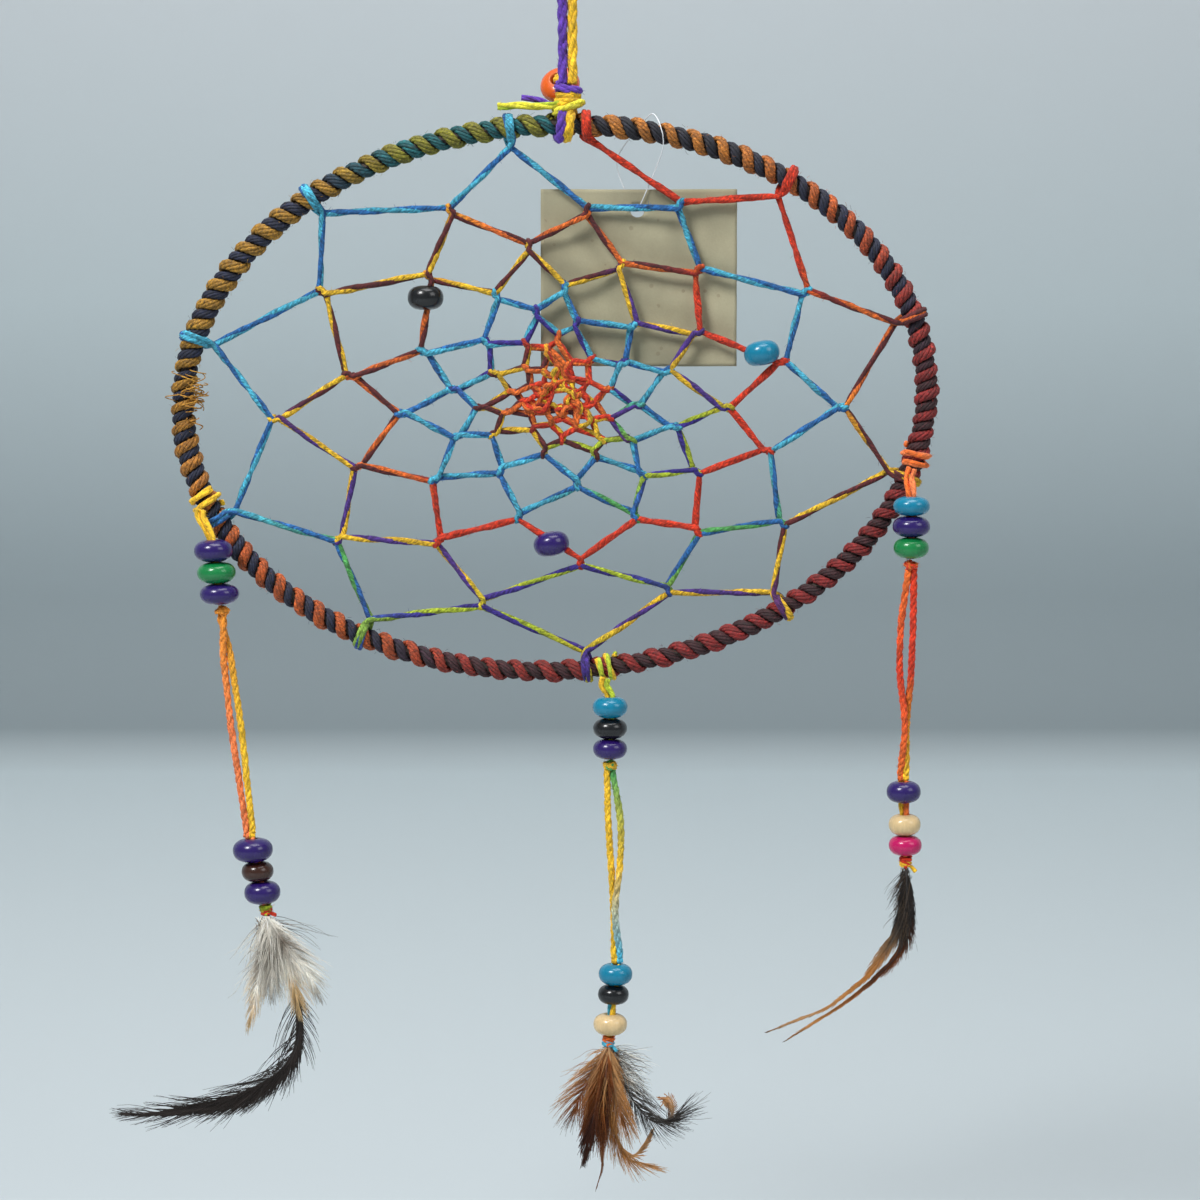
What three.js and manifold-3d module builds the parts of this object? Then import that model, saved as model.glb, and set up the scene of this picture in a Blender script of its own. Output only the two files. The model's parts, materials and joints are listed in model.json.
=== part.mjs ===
// Mandala dreamcatcher: an oval hoop wound with two cords, a thread web hitched round it in a
// spiral, three web beads, and three corded pendants with beads and feathers, hung from a loop.
// Millimetres, +Z up, +Y to the back. The origin is the inside top of the hanging loop.
import * as THREE from 'three';
import { mergeVertices } from 'three/addons/utils/BufferGeometryUtils.js';
import Module from 'manifold-3d';

const wasm = await Module();
wasm.setup();

// Fits
const GAP = 0.3;

// Hoop: an oval ring of wire, measured across the middle of the wire
const HOOP_WIDTH = 211.4;
const HOOP_HEIGHT = 154.8;
const HOOP_TILT = 3;
const CORE_DIAMETER = 3.2;
const CORE_SEGMENTS = 60;
const CORE_SIDES = 8;

// Winding: a dark cord and a bright cord side by side
const WRAP_TURNS = 42;
const WRAP_STEPS = 6;
const WRAP_THICKNESS = 1.0;
const WRAP_COVER = 0.86;
const WRAP_BARE_END = 6;

// Hanging cord and its hitch
const HANG_LENGTH = 56;
const HANGER_ANGLE = 85.8;
const HANGER_CORD = 2.3;
const HANGER_EYE_WIDTH = 11.8;
const HANGER_EYE_LENGTH = 20;
const HANGER_KNOT = 6;
const HANGER_KNOT_RISE = 8;
const HANGER_TAIL = 1.8;
// Its tail and its bead's middle, from the knot
const HANGER_TAIL_ROUTE = [[-3.5, -1, -0.6], [-8, -1, -0.9], [-14, -1, -1.5], [-19.7, -1, -2.6]];
const HANGER_BEAD_WIDTH = 11.4;
const HANGER_BEAD_HEIGHT = 6.3;
const HANGER_BEAD_NOD = 35;
const HANGER_BEAD_SPOT = [-1.7, 7.9, 3.6];

// Threads
const WEB_THREAD = 1.6;
const STRAND = 1.6;
const DOUBLED_CORD = 2.4;
const HITCH_LOOPS = 2;
const BORE_CLEARANCE = 0.5;

// Web: where its thread is hitched to the hoop, in degrees round the hoop, in the order of tying
const HITCH_ANGLES = [83, 49.1, 13.7, 339.3, 306, 272.8, 236.3, 202.3, 163.1, 128.6, 94.8];
const HITCHES = HITCH_ANGLES.length;

// Web knots in the order of tying: shares of the hoop's half width and half height from its centre
const WEB_KNOTS = [
  [0.34, 0.72], [0.68, 0.40], [0.78, -0.03], [0.62, -0.46], [0.31, -0.71], [-0.20, -0.76],
  [-0.59, -0.52], [-0.76, -0.07], [-0.63, 0.40], [-0.28, 0.70], [0.09, 0.70],
  [0.39, 0.48], [0.62, 0.14], [0.58, -0.19], [0.39, -0.49], [0.07, -0.61], [-0.32, -0.53],
  [-0.54, -0.25], [-0.56, 0.09], [-0.34, 0.46], [-0.07, 0.57], [0.18, 0.50],
  [0.39, 0.25], [0.47, -0.03], [0.39, -0.27], [0.22, -0.44], [-0.10, -0.44], [-0.33, -0.30],
  [-0.42, -0.05], [-0.36, 0.18], [-0.16, 0.39], [0.03, 0.42], [0.22, 0.28],
  [0.31, 0.11], [0.33, -0.10], [0.24, -0.28], [0.06, -0.32], [-0.15, -0.27], [-0.27, -0.14],
  [-0.28, 0.04], [-0.19, 0.22], [-0.05, 0.33], [0.06, 0.29], [0.19, 0.14],
  [0.23, -0.02], [0.21, -0.15], [0.11, -0.21], [-0.03, -0.20], [-0.17, -0.13], [-0.21, -0.03],
  [-0.17, 0.10], [-0.08, 0.21], [0.01, 0.24], [0.10, 0.15], [0.15, 0.04],
  [0.15, -0.07], [0.13, -0.15], [0.02, -0.15], [-0.06, -0.11], [-0.14, -0.05], [-0.12, 0.03],
  [-0.08, 0.12], [-0.02, 0.19],
];
// Past the listed knots, each one pulls the middle of the span it is tied to towards the heart
const WEB_HEART = [0.014, 0.007];
const WEB_PULL = 0.3;
const WEB_LAST_KNOT = 95;
const WEB_LEAST_GAP = 1.5;

// Web beads: the knots of the span each is strung on, and how far along that span it sits
const WEB_BEADS = [
  { name: 'web_bead_black', colour: 0x141416, span: [30, 40], share: 0.31, lean: 0 },
  { name: 'web_bead_turquoise', colour: 0x1987aa, span: [33, 23], share: 0.72, lean: 11 },
  { name: 'web_bead_purple', colour: 0x2d1969, span: [37, 26], share: 0.53, lean: 11 },
];
const WEB_BEAD_WIDTH = 10.2;
const WEB_BEAD_HEIGHT = 7;

// Pendants: across, depth (to the front) and down from the middle of the hoop's tube.
// leave: where the doubled cord leaves its hitch. stack and lower: where a run of beads starts,
// its lean in degrees, and its beads as colour, width, height and the bare cord above each one.
// bow: how far each strand stands out to the side and to the front on its way down.
const PENDANTS = [
  {
    name: 'left',
    angle: 197.7,
    hitchAngle: 197.7,
    leave: [-0.9, 6.9, 3.7],
    stack: { at: [2.4, 8.2, 10.3], lean: 7.5 },
    beads: [['purple', 10.9, 6.1, 0], ['green', 10.9, 5.9, 0], ['purple', 11.1, 5.7, 0]],
    lower: { at: [12.3, 8.2, 95], lean: 12 },
    lowerBeads: [['purple', 11.4, 6.5, 0.7], ['brown', 9.1, 5.5, 0], ['purple', 10.3, 6.3, 0]],
    bow: { a: [[-0.3, 0], [-0.6, 0], [-0.3, 0]], b: [[0.3, 0], [0.6, 0], [0.3, 0]] },
    colours: { cord: 0xf0b932, a: 0xe67832, b: 0xf0b932, tie: 0x5aaa5a },
  },
  {
    name: 'middle',
    angle: 275.25,
    hitchAngle: 276,
    leave: [0.3, 5.4, 4.5],
    stack: { at: [2.0, 5.4, 7.6], lean: 0 },
    beads: [['turquoise', 10, 5.9, 0], ['black', 9.7, 5.6, 0], ['purple', 9.7, 5.6, 0]],
    lower: { at: [4.0, 5.4, 84], lean: -5.9 },
    lowerBeads: [['turquoise', 9.7, 5.9, 0.7], ['black', 8.9, 5.4, 0], ['cream', 9.7, 5.9, 2.75]],
    bow: { a: [[-0.2, 0], [0.1, 0], [0.3, -1.1]], b: [[1.6, 0], [1, 0.3], [-0.9, 1]] },
    colours: { cord: 0xaabe3c, a: 0xf0b932, b: 0x3caacd, tie: 0xe67832 },
  },
  {
    name: 'right',
    angle: 341.9,
    hitchAngle: 344,
    leave: [-1.4, 7.0, 2.9],
    stack: { at: [-0.9, 9.2, 8.0], lean: 0 },
    beads: [['turquoise', 10.3, 5.3, 0], ['purple', 10.6, 5.7, 0], ['green', 10, 5.8, 0]],
    lower: { at: [-2.6, 9.2, 88.3], lean: 2.2 },
    lowerBeads: [['purple', 9.7, 6, 0.7], ['cream', 9.1, 5.8, 3.2], ['pink', 9.4, 5.5, 0]],
    bow: { a: [[-1.4, 0], [-1.2, 0], [0.6, 1.1]], b: [[0.3, 0], [0.3, 0], [-0.3, -0.9]] },
    colours: { cord: 0xe67832, a: 0xe14123, b: 0xf0b932, tie: 0xe14123 },
  },
];
const BEAD_COLOURS = {
  purple: 0x2d1969,
  green: 0x1e874b,
  turquoise: 0x1987aa,
  black: 0x141416,
  brown: 0x3c2319,
  cream: 0xe1c89b,
  pink: 0xcd2378,
};
const STOP_KNOT = 4;
const TIE_WIDTH = 4;
const TIE_HEIGHT = 3;
const TIE_PROFILE = [
  [0, -0.5], [0.36, -0.5], [0.5, -0.3], [0.4, -0.08], [0.5, 0.16], [0.38, 0.5], [0, 0.5],
];

// Feathers: the quill's route as across, down and front from the tie, the vane's width at each
// point of the route, and the vane's greatest thickness.
const FEATHERS = [
  {
    name: 'left_feather_plume', tie: 'left', colour: 0xb9b2a6, thickness: 6,
    route: [[0, 0, 0.9], [2.3, 7.7, 2.6], [4.6, 15.7, 3.8], [4, 24.9, 3.8], [2, 34, 3]],
    widths: [3, 14, 21, 17, 6],
  },
  {
    name: 'left_feather_black', tie: 'left', colour: 0x1d1c1e, thickness: 0.7,
    route: [
      [0, 0, -0.4], [5.1, 12, -0.4], [8.3, 25.1, -0.4], [8.3, 36.6, -0.4], [5.7, 42.9, -0.4],
      [0.6, 48, -0.4], [-8.9, 53.1, -0.4], [-21.7, 56.3, -0.4], [-34.3, 58, -0.4], [-43.4, 58, -0.4],
    ],
    widths: [1.5, 3, 5, 7, 8, 8, 7.5, 6.5, 4.5, 0.8],
  },
  {
    name: 'middle_feather_rust', tie: 'middle', colour: 0x7d4d2c, thickness: 3.6,
    route: [[0, 0, 0.8], [-2.3, 8.9, 2.2], [-4.3, 18.9, 2.6], [-5.4, 27.4, 2.2], [-6.6, 35.7, 1.5]],
    widths: [3, 12, 16, 14, 4],
  },
  {
    name: 'middle_feather_grey', tie: 'middle', colour: 0x8a857f, thickness: 1.6,
    route: [
      [0.4, 0, -0.1], [4.3, 10.3, -0.9], [8.9, 19.4, -0.9], [14.6, 24.3, -0.9], [20.9, 22.3, -0.9],
      [25.7, 20, -0.9],
    ],
    widths: [2, 8, 9, 7, 5, 1],
  },
  {
    name: 'middle_feather_gold', tie: 'middle', colour: 0xb98746, thickness: 0.7,
    route: [
      [-0.2, 0, -0.8], [0.6, 16, -2.6], [2.3, 28.9, -2.6], [6, 35.4, -2.6], [13.4, 37.1, -2.6],
    ],
    widths: [1.5, 4, 5, 4, 1],
  },
  {
    name: 'middle_feather_thin', tie: 'middle', colour: 0x2a2622, thickness: 0.7,
    route: [
      [-0.2, 0, -1.4], [-0.9, 16, -3.8], [-2.3, 30.3, -3.8], [-3.1, 38.9, -3.8], [-2.9, 44, -3.8],
    ],
    widths: [1.5, 4, 4, 3, 0.8],
  },
  {
    name: 'right_feather_a', tie: 'right', colour: 0x4a3220, thickness: 0.8,
    route: [
      [0, 0, 0.6], [0.3, 8.6, 0.6], [-0.3, 18.9, 0.6], [-3.7, 26.3, 0.6], [-9.4, 33.1, 0.6],
      [-17.1, 38.6, 0.6], [-25.7, 42.9, 0.6], [-40, 47.4, 0.6],
    ],
    widths: [3, 6.5, 6, 4.5, 4, 3.5, 3, 0.6],
  },
  {
    name: 'right_feather_b', tie: 'right', colour: 0x5f3f22, thickness: 0.8,
    route: [
      [0, 0, -0.6], [-1.1, 8.6, -0.6], [-1.7, 18.9, -0.6], [-4.6, 27.1, -0.6], [-10, 34.6, -0.6],
      [-17.1, 40.9, -0.6], [-25.4, 45.7, -0.6], [-34.3, 50, -0.6],
    ],
    widths: [2, 5, 5, 4, 3.5, 3, 2.5, 0.6],
  },
];

// Card: a bare paper card on a fine clear thread, behind the web. Its middle, its hole and the
// thread's route are set out from the middle of the hoop's tube at its angle.
const CARD_ANGLE = 74.2;
const CARD_WIDTH = 55.7;
const CARD_HEIGHT = 50;
const CARD_THICKNESS = 0.6;
const CARD_MIDDLE = [-1, 3.6, -41.4];
const CARD_HOLE = 4;
const CARD_HOLE_SPOT = [-1.45, 3.6, -22.4];
const CARD_THREAD = 0.5;
const CARD_THREAD_ROUTE = [
  [-1.45, 2.9, -22.7], [1.35, 2.2, -16.4], [3.85, 1.6, -10.4], [5.75, -2.5, -4.7],
  [5.35, -4.1, -0.4], [2.85, 0, 4.6], [-1.15, 4.1, 0.6], [-7.15, 4.6, -8.4], [-2.15, 4.4, -22.7],
];

// Faces per round of the small turned pieces
const BEAD_SEGMENTS = 10;
const BEAD_ARC_STEPS = 6;
const CORD_SIDES = 8;
const STRAND_SIDES = 6;
const HITCH_SIDES = 5;
const HITCH_STEPS = 10;

const dreamcatcher = new THREE.Group();

// Adds one named piece to the assembly.
function addPiece(name, geometry, colour, roughness = 0.85, metalness = 0) {
  const material = new THREE.MeshStandardMaterial({ color: colour, roughness, metalness });
  const mesh = new THREE.Mesh(geometry, material);
  mesh.name = name;
  dreamcatcher.add(mesh);
  return mesh;
}

const radians = THREE.MathUtils.degToRad;
const point = (x, y, z) => new THREE.Vector3(x, y, z);
const BACK = point(0, 1, 0);

// Keeps only merged positions, so that neighbouring faces share their corners.
function welded(geometry) {
  const bare = geometry.clone();
  bare.deleteAttribute('normal');
  bare.deleteAttribute('uv');
  return mergeVertices(bare, 1e-4);
}

// Turns the faces of a closed geometry outwards.
function facedOut(geometry) {
  const spots = geometry.getAttribute('position');
  const index = geometry.getIndex().array;
  const corner = (i) => new THREE.Vector3().fromBufferAttribute(spots, index[i]);
  let volume = 0;
  for (let i = 0; i < index.length; i += 3) {
    volume += corner(i).dot(corner(i + 1).cross(corner(i + 2)));
  }
  if (volume < 0) {
    geometry.setIndex(Array.from(index).reverse());
  }
  return geometry;
}

// A closed skin over a row of rings with the same number of points.
function skin(rings, closed = false) {
  const sides = rings[0].length;
  const faces = [];
  const spans = closed ? rings.length : rings.length - 1;
  for (let i = 0; i < spans; i += 1) {
    const here = i * sides;
    const next = ((i + 1) % rings.length) * sides;
    for (let j = 0; j < sides; j += 1) {
      const k = (j + 1) % sides;
      faces.push(here + j, next + j, next + k);
      faces.push(here + j, next + k, here + k);
    }
  }
  if (!closed) {
    const end = (rings.length - 1) * sides;
    for (let j = 1; j < sides - 1; j += 1) {
      faces.push(0, j, j + 1);
      faces.push(end, end + j + 1, end + j);
    }
  }
  const geometry = new THREE.BufferGeometry().setFromPoints(rings.flat());
  geometry.setIndex(faces);
  return facedOut(geometry);
}

function circleShape(radius, sides) {
  const corners = [];
  for (let i = 0; i < sides; i += 1) {
    const angle = (2 * Math.PI * i) / sides;
    corners.push(new THREE.Vector2(radius * Math.cos(angle), radius * Math.sin(angle)));
  }
  return new THREE.Shape(corners);
}

// A round cord through a few points.
function cord(points, diameter, steps, sides = CORD_SIDES) {
  const path = new THREE.CatmullRomCurve3(points, false, 'centripetal');
  const settings = { steps, extrudePath: path, bevelEnabled: false };
  return welded(new THREE.ExtrudeGeometry(circleShape(diameter / 2, sides), settings));
}

function toSolid(geometry) {
  const mesh = welded(geometry);
  return new wasm.Manifold(
    new wasm.Mesh({
      numProp: 3,
      vertProperties: new Float32Array(mesh.getAttribute('position').array),
      triVerts: new Uint32Array(mesh.getIndex().array),
    }),
  );
}

function fromSolid(solid) {
  const { vertProperties, triVerts } = solid.getMesh();
  const geometry = new THREE.BufferGeometry();
  geometry.setAttribute('position', new THREE.BufferAttribute(new Float32Array(vertProperties), 3));
  geometry.setIndex(new THREE.BufferAttribute(new Uint32Array(triVerts), 1));
  return geometry;
}

const join = (...geometries) =>
  fromSolid(geometries.map(toSolid).reduce((sum, solid) => sum.add(solid)));
const cut = (body, tool) => fromSolid(toSolid(body).subtract(toSolid(tool)));

// The hoop's line: its place, its direction and the outward side at an angle round it.
const halfWidth = HOOP_WIDTH / 2;
const halfHeight = HOOP_HEIGHT / 2;

function tilted(x, z) {
  const turn = radians(HOOP_TILT);
  return point(x * Math.cos(turn) - z * Math.sin(turn), 0, x * Math.sin(turn) + z * Math.cos(turn));
}

function onOval(angle) {
  return tilted(halfWidth * Math.cos(angle), halfHeight * Math.sin(angle));
}

const hangerPoint = point(0, 0, -HANG_LENGTH);
const hoopCentre = hangerPoint.clone().sub(onOval(radians(HANGER_ANGLE)));

function hoopFrame(angle) {
  const along = tilted(-halfWidth * Math.sin(angle), halfHeight * Math.cos(angle)).normalize();
  const out = tilted(halfHeight * Math.cos(angle), halfWidth * Math.sin(angle)).normalize();
  return { middle: onOval(angle).add(hoopCentre), along, out };
}

// A ring of points round the hoop's line.
function ringRound(frame, radius, sides) {
  const ring = [];
  for (let i = 0; i < sides; i += 1) {
    const angle = (2 * Math.PI * i) / sides;
    const spoke = frame.out.clone().multiplyScalar(radius * Math.cos(angle));
    spoke.addScaledVector(BACK, radius * Math.sin(angle));
    ring.push(spoke.add(frame.middle));
  }
  return ring;
}

// Hoop core: a wire bent to an oval.
const coreRings = [];
for (let i = 0; i < CORE_SEGMENTS; i += 1) {
  coreRings.push(ringRound(hoopFrame((2 * Math.PI * i) / CORE_SEGMENTS), CORE_DIAMETER / 2, CORE_SIDES));
}
addPiece('hoop_core', skin(coreRings, true), 0x4b4a48, 0.5, 0.8);

// Winding: its inner corners are set out so that its flats clear the wire.
const wrapInner = (CORE_DIAMETER / 2 + 1.5 * GAP) / Math.cos(Math.PI / WRAP_STEPS);
const wrapOuter = wrapInner + WRAP_THICKNESS;
const ovalLine = new THREE.EllipseCurve(0, 0, halfWidth, halfHeight);
const ovalLength = ovalLine.getLength();
const wrapStart = ovalLine.getLength() * (HANGER_ANGLE / 360);

function angleAtLength(length) {
  const share = (((length / ovalLength) % 1) + 1) % 1;
  return 2 * Math.PI * ovalLine.getUtoTmapping(share);
}

// One wrapping cord: an unbroken ridge wound round the hoop, whose ends run straight.
function windCord(name, colour, offset) {
  const run = ovalLength - 2 * WRAP_BARE_END;
  const pitch = run / (WRAP_TURNS + 0.5);
  const half = (WRAP_COVER * pitch) / 4;
  const section = [[-half, wrapInner], [-half / 2, wrapOuter], [half / 2, wrapOuter], [half, wrapInner]];
  const steps = WRAP_TURNS * WRAP_STEPS;
  const rings = [];
  for (let i = 0; i <= steps; i += 1) {
    const length = wrapStart + WRAP_BARE_END + pitch * (i / WRAP_STEPS + offset);
    const frame = hoopFrame(angleAtLength(length));
    const turn = (2 * Math.PI * i) / WRAP_STEPS;
    const spoke = frame.out.clone().multiplyScalar(Math.cos(turn)).addScaledVector(BACK, Math.sin(turn));
    const ring = section.map(([side, radius]) =>
      frame.middle.clone().addScaledVector(frame.along, side).addScaledVector(spoke, radius),
    );
    rings.push(ring);
  }
  let least = Infinity;
  for (let i = 0; i + WRAP_STEPS <= steps; i += 1) {
    for (const here of rings[i]) {
      for (const there of rings[i + WRAP_STEPS]) {
        least = Math.min(least, here.distanceTo(there));
      }
    }
  }
  console.log(`${name}: least gap to itself ${least.toFixed(2)} mm`);
  const straight = (ring, inner) => {
    const way = ring[0].clone().sub(inner[0]).setLength(WRAP_THICKNESS);
    return ring.map((corner) => corner.clone().add(way));
  };
  rings.unshift(straight(rings[0], rings[1]));
  rings.push(straight(rings[rings.length - 1], rings[rings.length - 2]));
  addPiece(name, skin(rings), colour, 0.9);
}
windCord('hoop_wrap_dark', 0x1c223a, 0);
windCord('hoop_wrap_bright', 0xbe5a28, 0.5);

// A loop of thread round the hoop's tube, clear of the winding.
function loopRadius(diameter) {
  return (wrapOuter + GAP + diameter / 2) / Math.cos(Math.PI / HITCH_STEPS);
}

function threadLoop(angle, diameter) {
  const frame = hoopFrame(angle);
  const rings = [];
  const radius = loopRadius(diameter);
  for (let i = 0; i < HITCH_STEPS; i += 1) {
    const turn = (2 * Math.PI * i) / HITCH_STEPS;
    const spoke = frame.out.clone().multiplyScalar(Math.cos(turn)).addScaledVector(BACK, Math.sin(turn));
    const ring = [];
    for (let j = 0; j < HITCH_SIDES; j += 1) {
      const side = (2 * Math.PI * j) / HITCH_SIDES;
      const reach = radius + (diameter / 2) * Math.cos(side);
      ring.push(
        frame.middle.clone()
          .addScaledVector(spoke, reach)
          .addScaledVector(frame.along, (diameter / 2) * Math.sin(side)),
      );
    }
    rings.push(ring);
  }
  return skin(rings, true);
}

// A hitch: loops of cord wound on round the hoop's tube at an angle round the hoop.
function hitch(angle, diameter, loops) {
  const frame = hoopFrame(angle);
  const radius = loopRadius(diameter);
  const steps = loops * HITCH_STEPS;
  const pitch = diameter + 2 * GAP;
  const rings = [];
  for (let i = 0; i <= steps; i += 1) {
    const turn = (2 * Math.PI * i) / HITCH_STEPS - Math.PI / 2;
    const shift = pitch * (i / HITCH_STEPS - loops / 2);
    const spoke = frame.out.clone().multiplyScalar(Math.cos(turn)).addScaledVector(BACK, Math.sin(turn));
    const ring = [];
    for (let j = 0; j < HITCH_SIDES; j += 1) {
      const side = (2 * Math.PI * j) / HITCH_SIDES;
      ring.push(
        frame.middle.clone()
          .addScaledVector(spoke, radius + (diameter / 2) * Math.cos(side))
          .addScaledVector(frame.along, shift + (diameter / 2) * Math.sin(side)),
      );
    }
    rings.push(ring);
  }
  return skin(rings);
}

// Web: knots as places on the plane of the hoop.
const tipReach = loopRadius(WEB_THREAD) + WEB_THREAD / 2;
const knots = HITCH_ANGLES.map((degrees) => {
  const frame = hoopFrame(radians(degrees));
  const tip = frame.middle.addScaledVector(frame.out, -tipReach);
  return new THREE.Vector2(tip.x, tip.z);
});
const placeOnWeb = ([right, up]) =>
  new THREE.Vector2(hoopCentre.x + right * halfWidth, hoopCentre.z + up * halfHeight);
knots.push(...WEB_KNOTS.map(placeOnWeb));
const heart = placeOnWeb(WEB_HEART);
while (knots.length <= WEB_LAST_KNOT) {
  const n = knots.length;
  const middle = knots[n - HITCHES].clone().lerp(knots[n - HITCHES + 1], 0.5);
  knots.push(middle.lerp(heart, WEB_PULL));
}

// Moves the sides of a closed outline to their left by a distance.
function offsetOutline(corners, distance) {
  const moved = [];
  const count = corners.length;
  const leftOf = (a, b) => new THREE.Vector2(a.y - b.y, b.x - a.x).normalize();
  for (let i = 0; i < count; i += 1) {
    const before = leftOf(corners[(i + count - 1) % count], corners[i]);
    const after = leftOf(corners[i], corners[(i + 1) % count]);
    const bend = 1 + before.dot(after);
    if (bend < 0.02) {
      moved.push(corners[i].clone().addScaledVector(before, distance));
      moved.push(corners[i].clone().addScaledVector(after, distance));
    } else {
      const way = before.add(after).divideScalar(Math.max(bend, 0.5));
      moved.push(corners[i].clone().addScaledVector(way, distance));
    }
  }
  return moved;
}

// The net between the knots: its outer edge zigzags from hitch to knot, and each gap is a kite.
function webNet() {
  const edge = [];
  for (let n = 0; n < HITCHES; n += 1) {
    edge.push(knots[n], knots[n + HITCHES]);
  }
  edge.push(knots[HITCHES]);
  if (THREE.ShapeUtils.isClockWise(edge)) {
    edge.reverse();
  }
  const outline = offsetOutline(edge, -WEB_THREAD / 2);
  const net = new THREE.Shape(outline);
  for (let n = 1; n + 2 * HITCHES - 1 < knots.length; n += 1) {
    const kite = [knots[n], knots[n + HITCHES], knots[n + 2 * HITCHES - 1], knots[n + HITCHES - 1]];
    const inside = (THREE.ShapeUtils.isClockWise(kite) ? -1 : 1) * (WEB_THREAD / 2);
    const gap = offsetOutline(kite, inside);
    const area = THREE.ShapeUtils.area(gap) * Math.sign(THREE.ShapeUtils.area(kite));
    if (area > WEB_LEAST_GAP) {
      net.holes.push(new THREE.Path(gap));
    }
  }
  const chamfer = WEB_THREAD * 0.28;
  const plate = new THREE.ExtrudeGeometry(net, {
    depth: WEB_THREAD - 2 * chamfer,
    bevelEnabled: true,
    bevelThickness: chamfer,
    bevelSize: chamfer,
    bevelOffset: -chamfer,
    bevelSegments: 1,
  });
  plate.translate(0, 0, chamfer - WEB_THREAD / 2);
  plate.rotateX(Math.PI / 2);
  return plate;
}
const webLoops = HITCH_ANGLES.map((degrees) => threadLoop(radians(degrees), WEB_THREAD));
addPiece('web_thread', join(webNet(), ...webLoops), 0x3caacd, 0.9);

// A turned bead: a flattened round with a bore along its own axis.
function beadGeometry(width, height, bore) {
  const limit = Math.acos(bore / width);
  const profile = [];
  for (let i = 0; i <= BEAD_ARC_STEPS; i += 1) {
    const angle = -limit + (2 * limit * i) / BEAD_ARC_STEPS;
    profile.push(new THREE.Vector2((width / 2) * Math.cos(angle), (height / 2) * Math.sin(angle)));
  }
  profile.push(profile[0].clone());
  const turned = welded(new THREE.LatheGeometry(profile, BEAD_SEGMENTS));
  turned.rotateX(Math.PI / 2);
  return facedOut(turned);
}

// A plain round without a bore, flattened along its axis.
function plainRound(width, height) {
  const ball = new THREE.SphereGeometry(width / 2, BEAD_SEGMENTS, BEAD_ARC_STEPS);
  ball.rotateX(Math.PI / 2);
  ball.scale(1, 1, height / width);
  return ball;
}

// Web beads: strung on a span of the web, so each is bored along that span.
for (const { name, colour, span, share, lean } of WEB_BEADS) {
  const [from, to] = span.map((n) => point(knots[n].x, 0, knots[n].y));
  const way = to.clone().sub(from).normalize();
  const bead = plainRound(WEB_BEAD_WIDTH, WEB_BEAD_HEIGHT);
  bead.rotateY(-radians(lean));
  const boreRadius = WEB_THREAD / 2 + BORE_CLEARANCE;
  const drill = new THREE.CylinderGeometry(boreRadius, boreRadius, 2 * WEB_BEAD_WIDTH, CORD_SIDES);
  drill.applyQuaternion(new THREE.Quaternion().setFromUnitVectors(point(0, 1, 0), way));
  const bored = cut(bead, drill);
  const middle = from.lerp(to, share);
  bored.translate(middle.x, middle.y, middle.z);
  addPiece(name, bored, colour, 0.25);
}

// Hanging loop: two strands that part into an eye at the top.
const knotMiddle = point(0, 0, -HANG_LENGTH + HANGER_KNOT_RISE);
const loopFoot = knotMiddle.z + HANGER_KNOT / 2 + GAP;
const strandSide = HANGER_CORD / 2 + GAP / 2 + 0.05;
const eyeTop = HANGER_CORD / 2;
const eyeRadius = (HANGER_EYE_WIDTH - HANGER_CORD) / 2;
const loopSide = (side) => [
  point(side * strandSide, 0, loopFoot),
  point(side * strandSide, 0, (2 * loopFoot - HANGER_EYE_LENGTH) / 3),
  point(side * strandSide, 0, (loopFoot - 2 * HANGER_EYE_LENGTH) / 3),
  point(side * (strandSide + 0.15), 0, -HANGER_EYE_LENGTH - 2),
  point(side * eyeRadius * 0.55, 0, -HANGER_EYE_LENGTH * 0.7),
  point(side * eyeRadius * 0.88, 0, -HANGER_EYE_LENGTH * 0.4),
  point(side * eyeRadius, 0, eyeTop - eyeRadius),
  point(side * eyeRadius * 0.71, 0, eyeTop - eyeRadius * 0.29),
];
const loopPoints = [...loopSide(-1), point(0, 0, eyeTop), ...loopSide(1).reverse()];
addPiece('hanging_loop', cord(loopPoints, HANGER_CORD, 30), 0x5a3c8c, 0.9);

// Hanger hitch: loops round the hoop, a knot on top, and a short cord that carries a bead behind.
const knot = plainRound(HANGER_KNOT, HANGER_KNOT);
knot.translate(0, 0, knotMiddle.z);
const beadMiddle = point(...HANGER_BEAD_SPOT).add(knotMiddle);
const nod = radians(HANGER_BEAD_NOD);
const beadAxis = point(0, -Math.sin(nod), Math.cos(nod));
const pegEnd = beadMiddle.clone().addScaledVector(beadAxis, HANGER_BEAD_HEIGHT / 2 + 1);
const pegFoot = beadMiddle.clone().addScaledVector(beadAxis, -HANGER_BEAD_HEIGHT / 2 - 1);
const pegElbow = pegFoot.clone().lerp(knotMiddle, 0.5).add(point(0, 0, -1.5));
const pegStart = knotMiddle.clone().add(point(0.3, 0, 0));
const peg = cord([pegStart, pegElbow, pegFoot, beadMiddle, pegEnd], HANGER_TAIL, 10);
const hangerLoops = hitch(radians(HANGER_ANGLE), STRAND, HITCH_LOOPS);
addPiece('hanger_hitch', join(hangerLoops, knot, peg), 0xc8a032, 0.9);
const hangerBead = beadGeometry(HANGER_BEAD_WIDTH, HANGER_BEAD_HEIGHT, HANGER_TAIL + 2 * BORE_CLEARANCE);
hangerBead.rotateX(nod);
hangerBead.translate(beadMiddle.x, beadMiddle.y, beadMiddle.z);
addPiece('hanger_bead', hangerBead, 0xeb5f23, 0.25);
const tailPoints = HANGER_TAIL_ROUTE.map((spot) => point(...spot).add(knotMiddle));
addPiece('hanger_tail', cord(tailPoints, HANGER_TAIL, 8), 0xd2d23c, 0.9);

// Pendants
const tieFoot = {};

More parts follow.
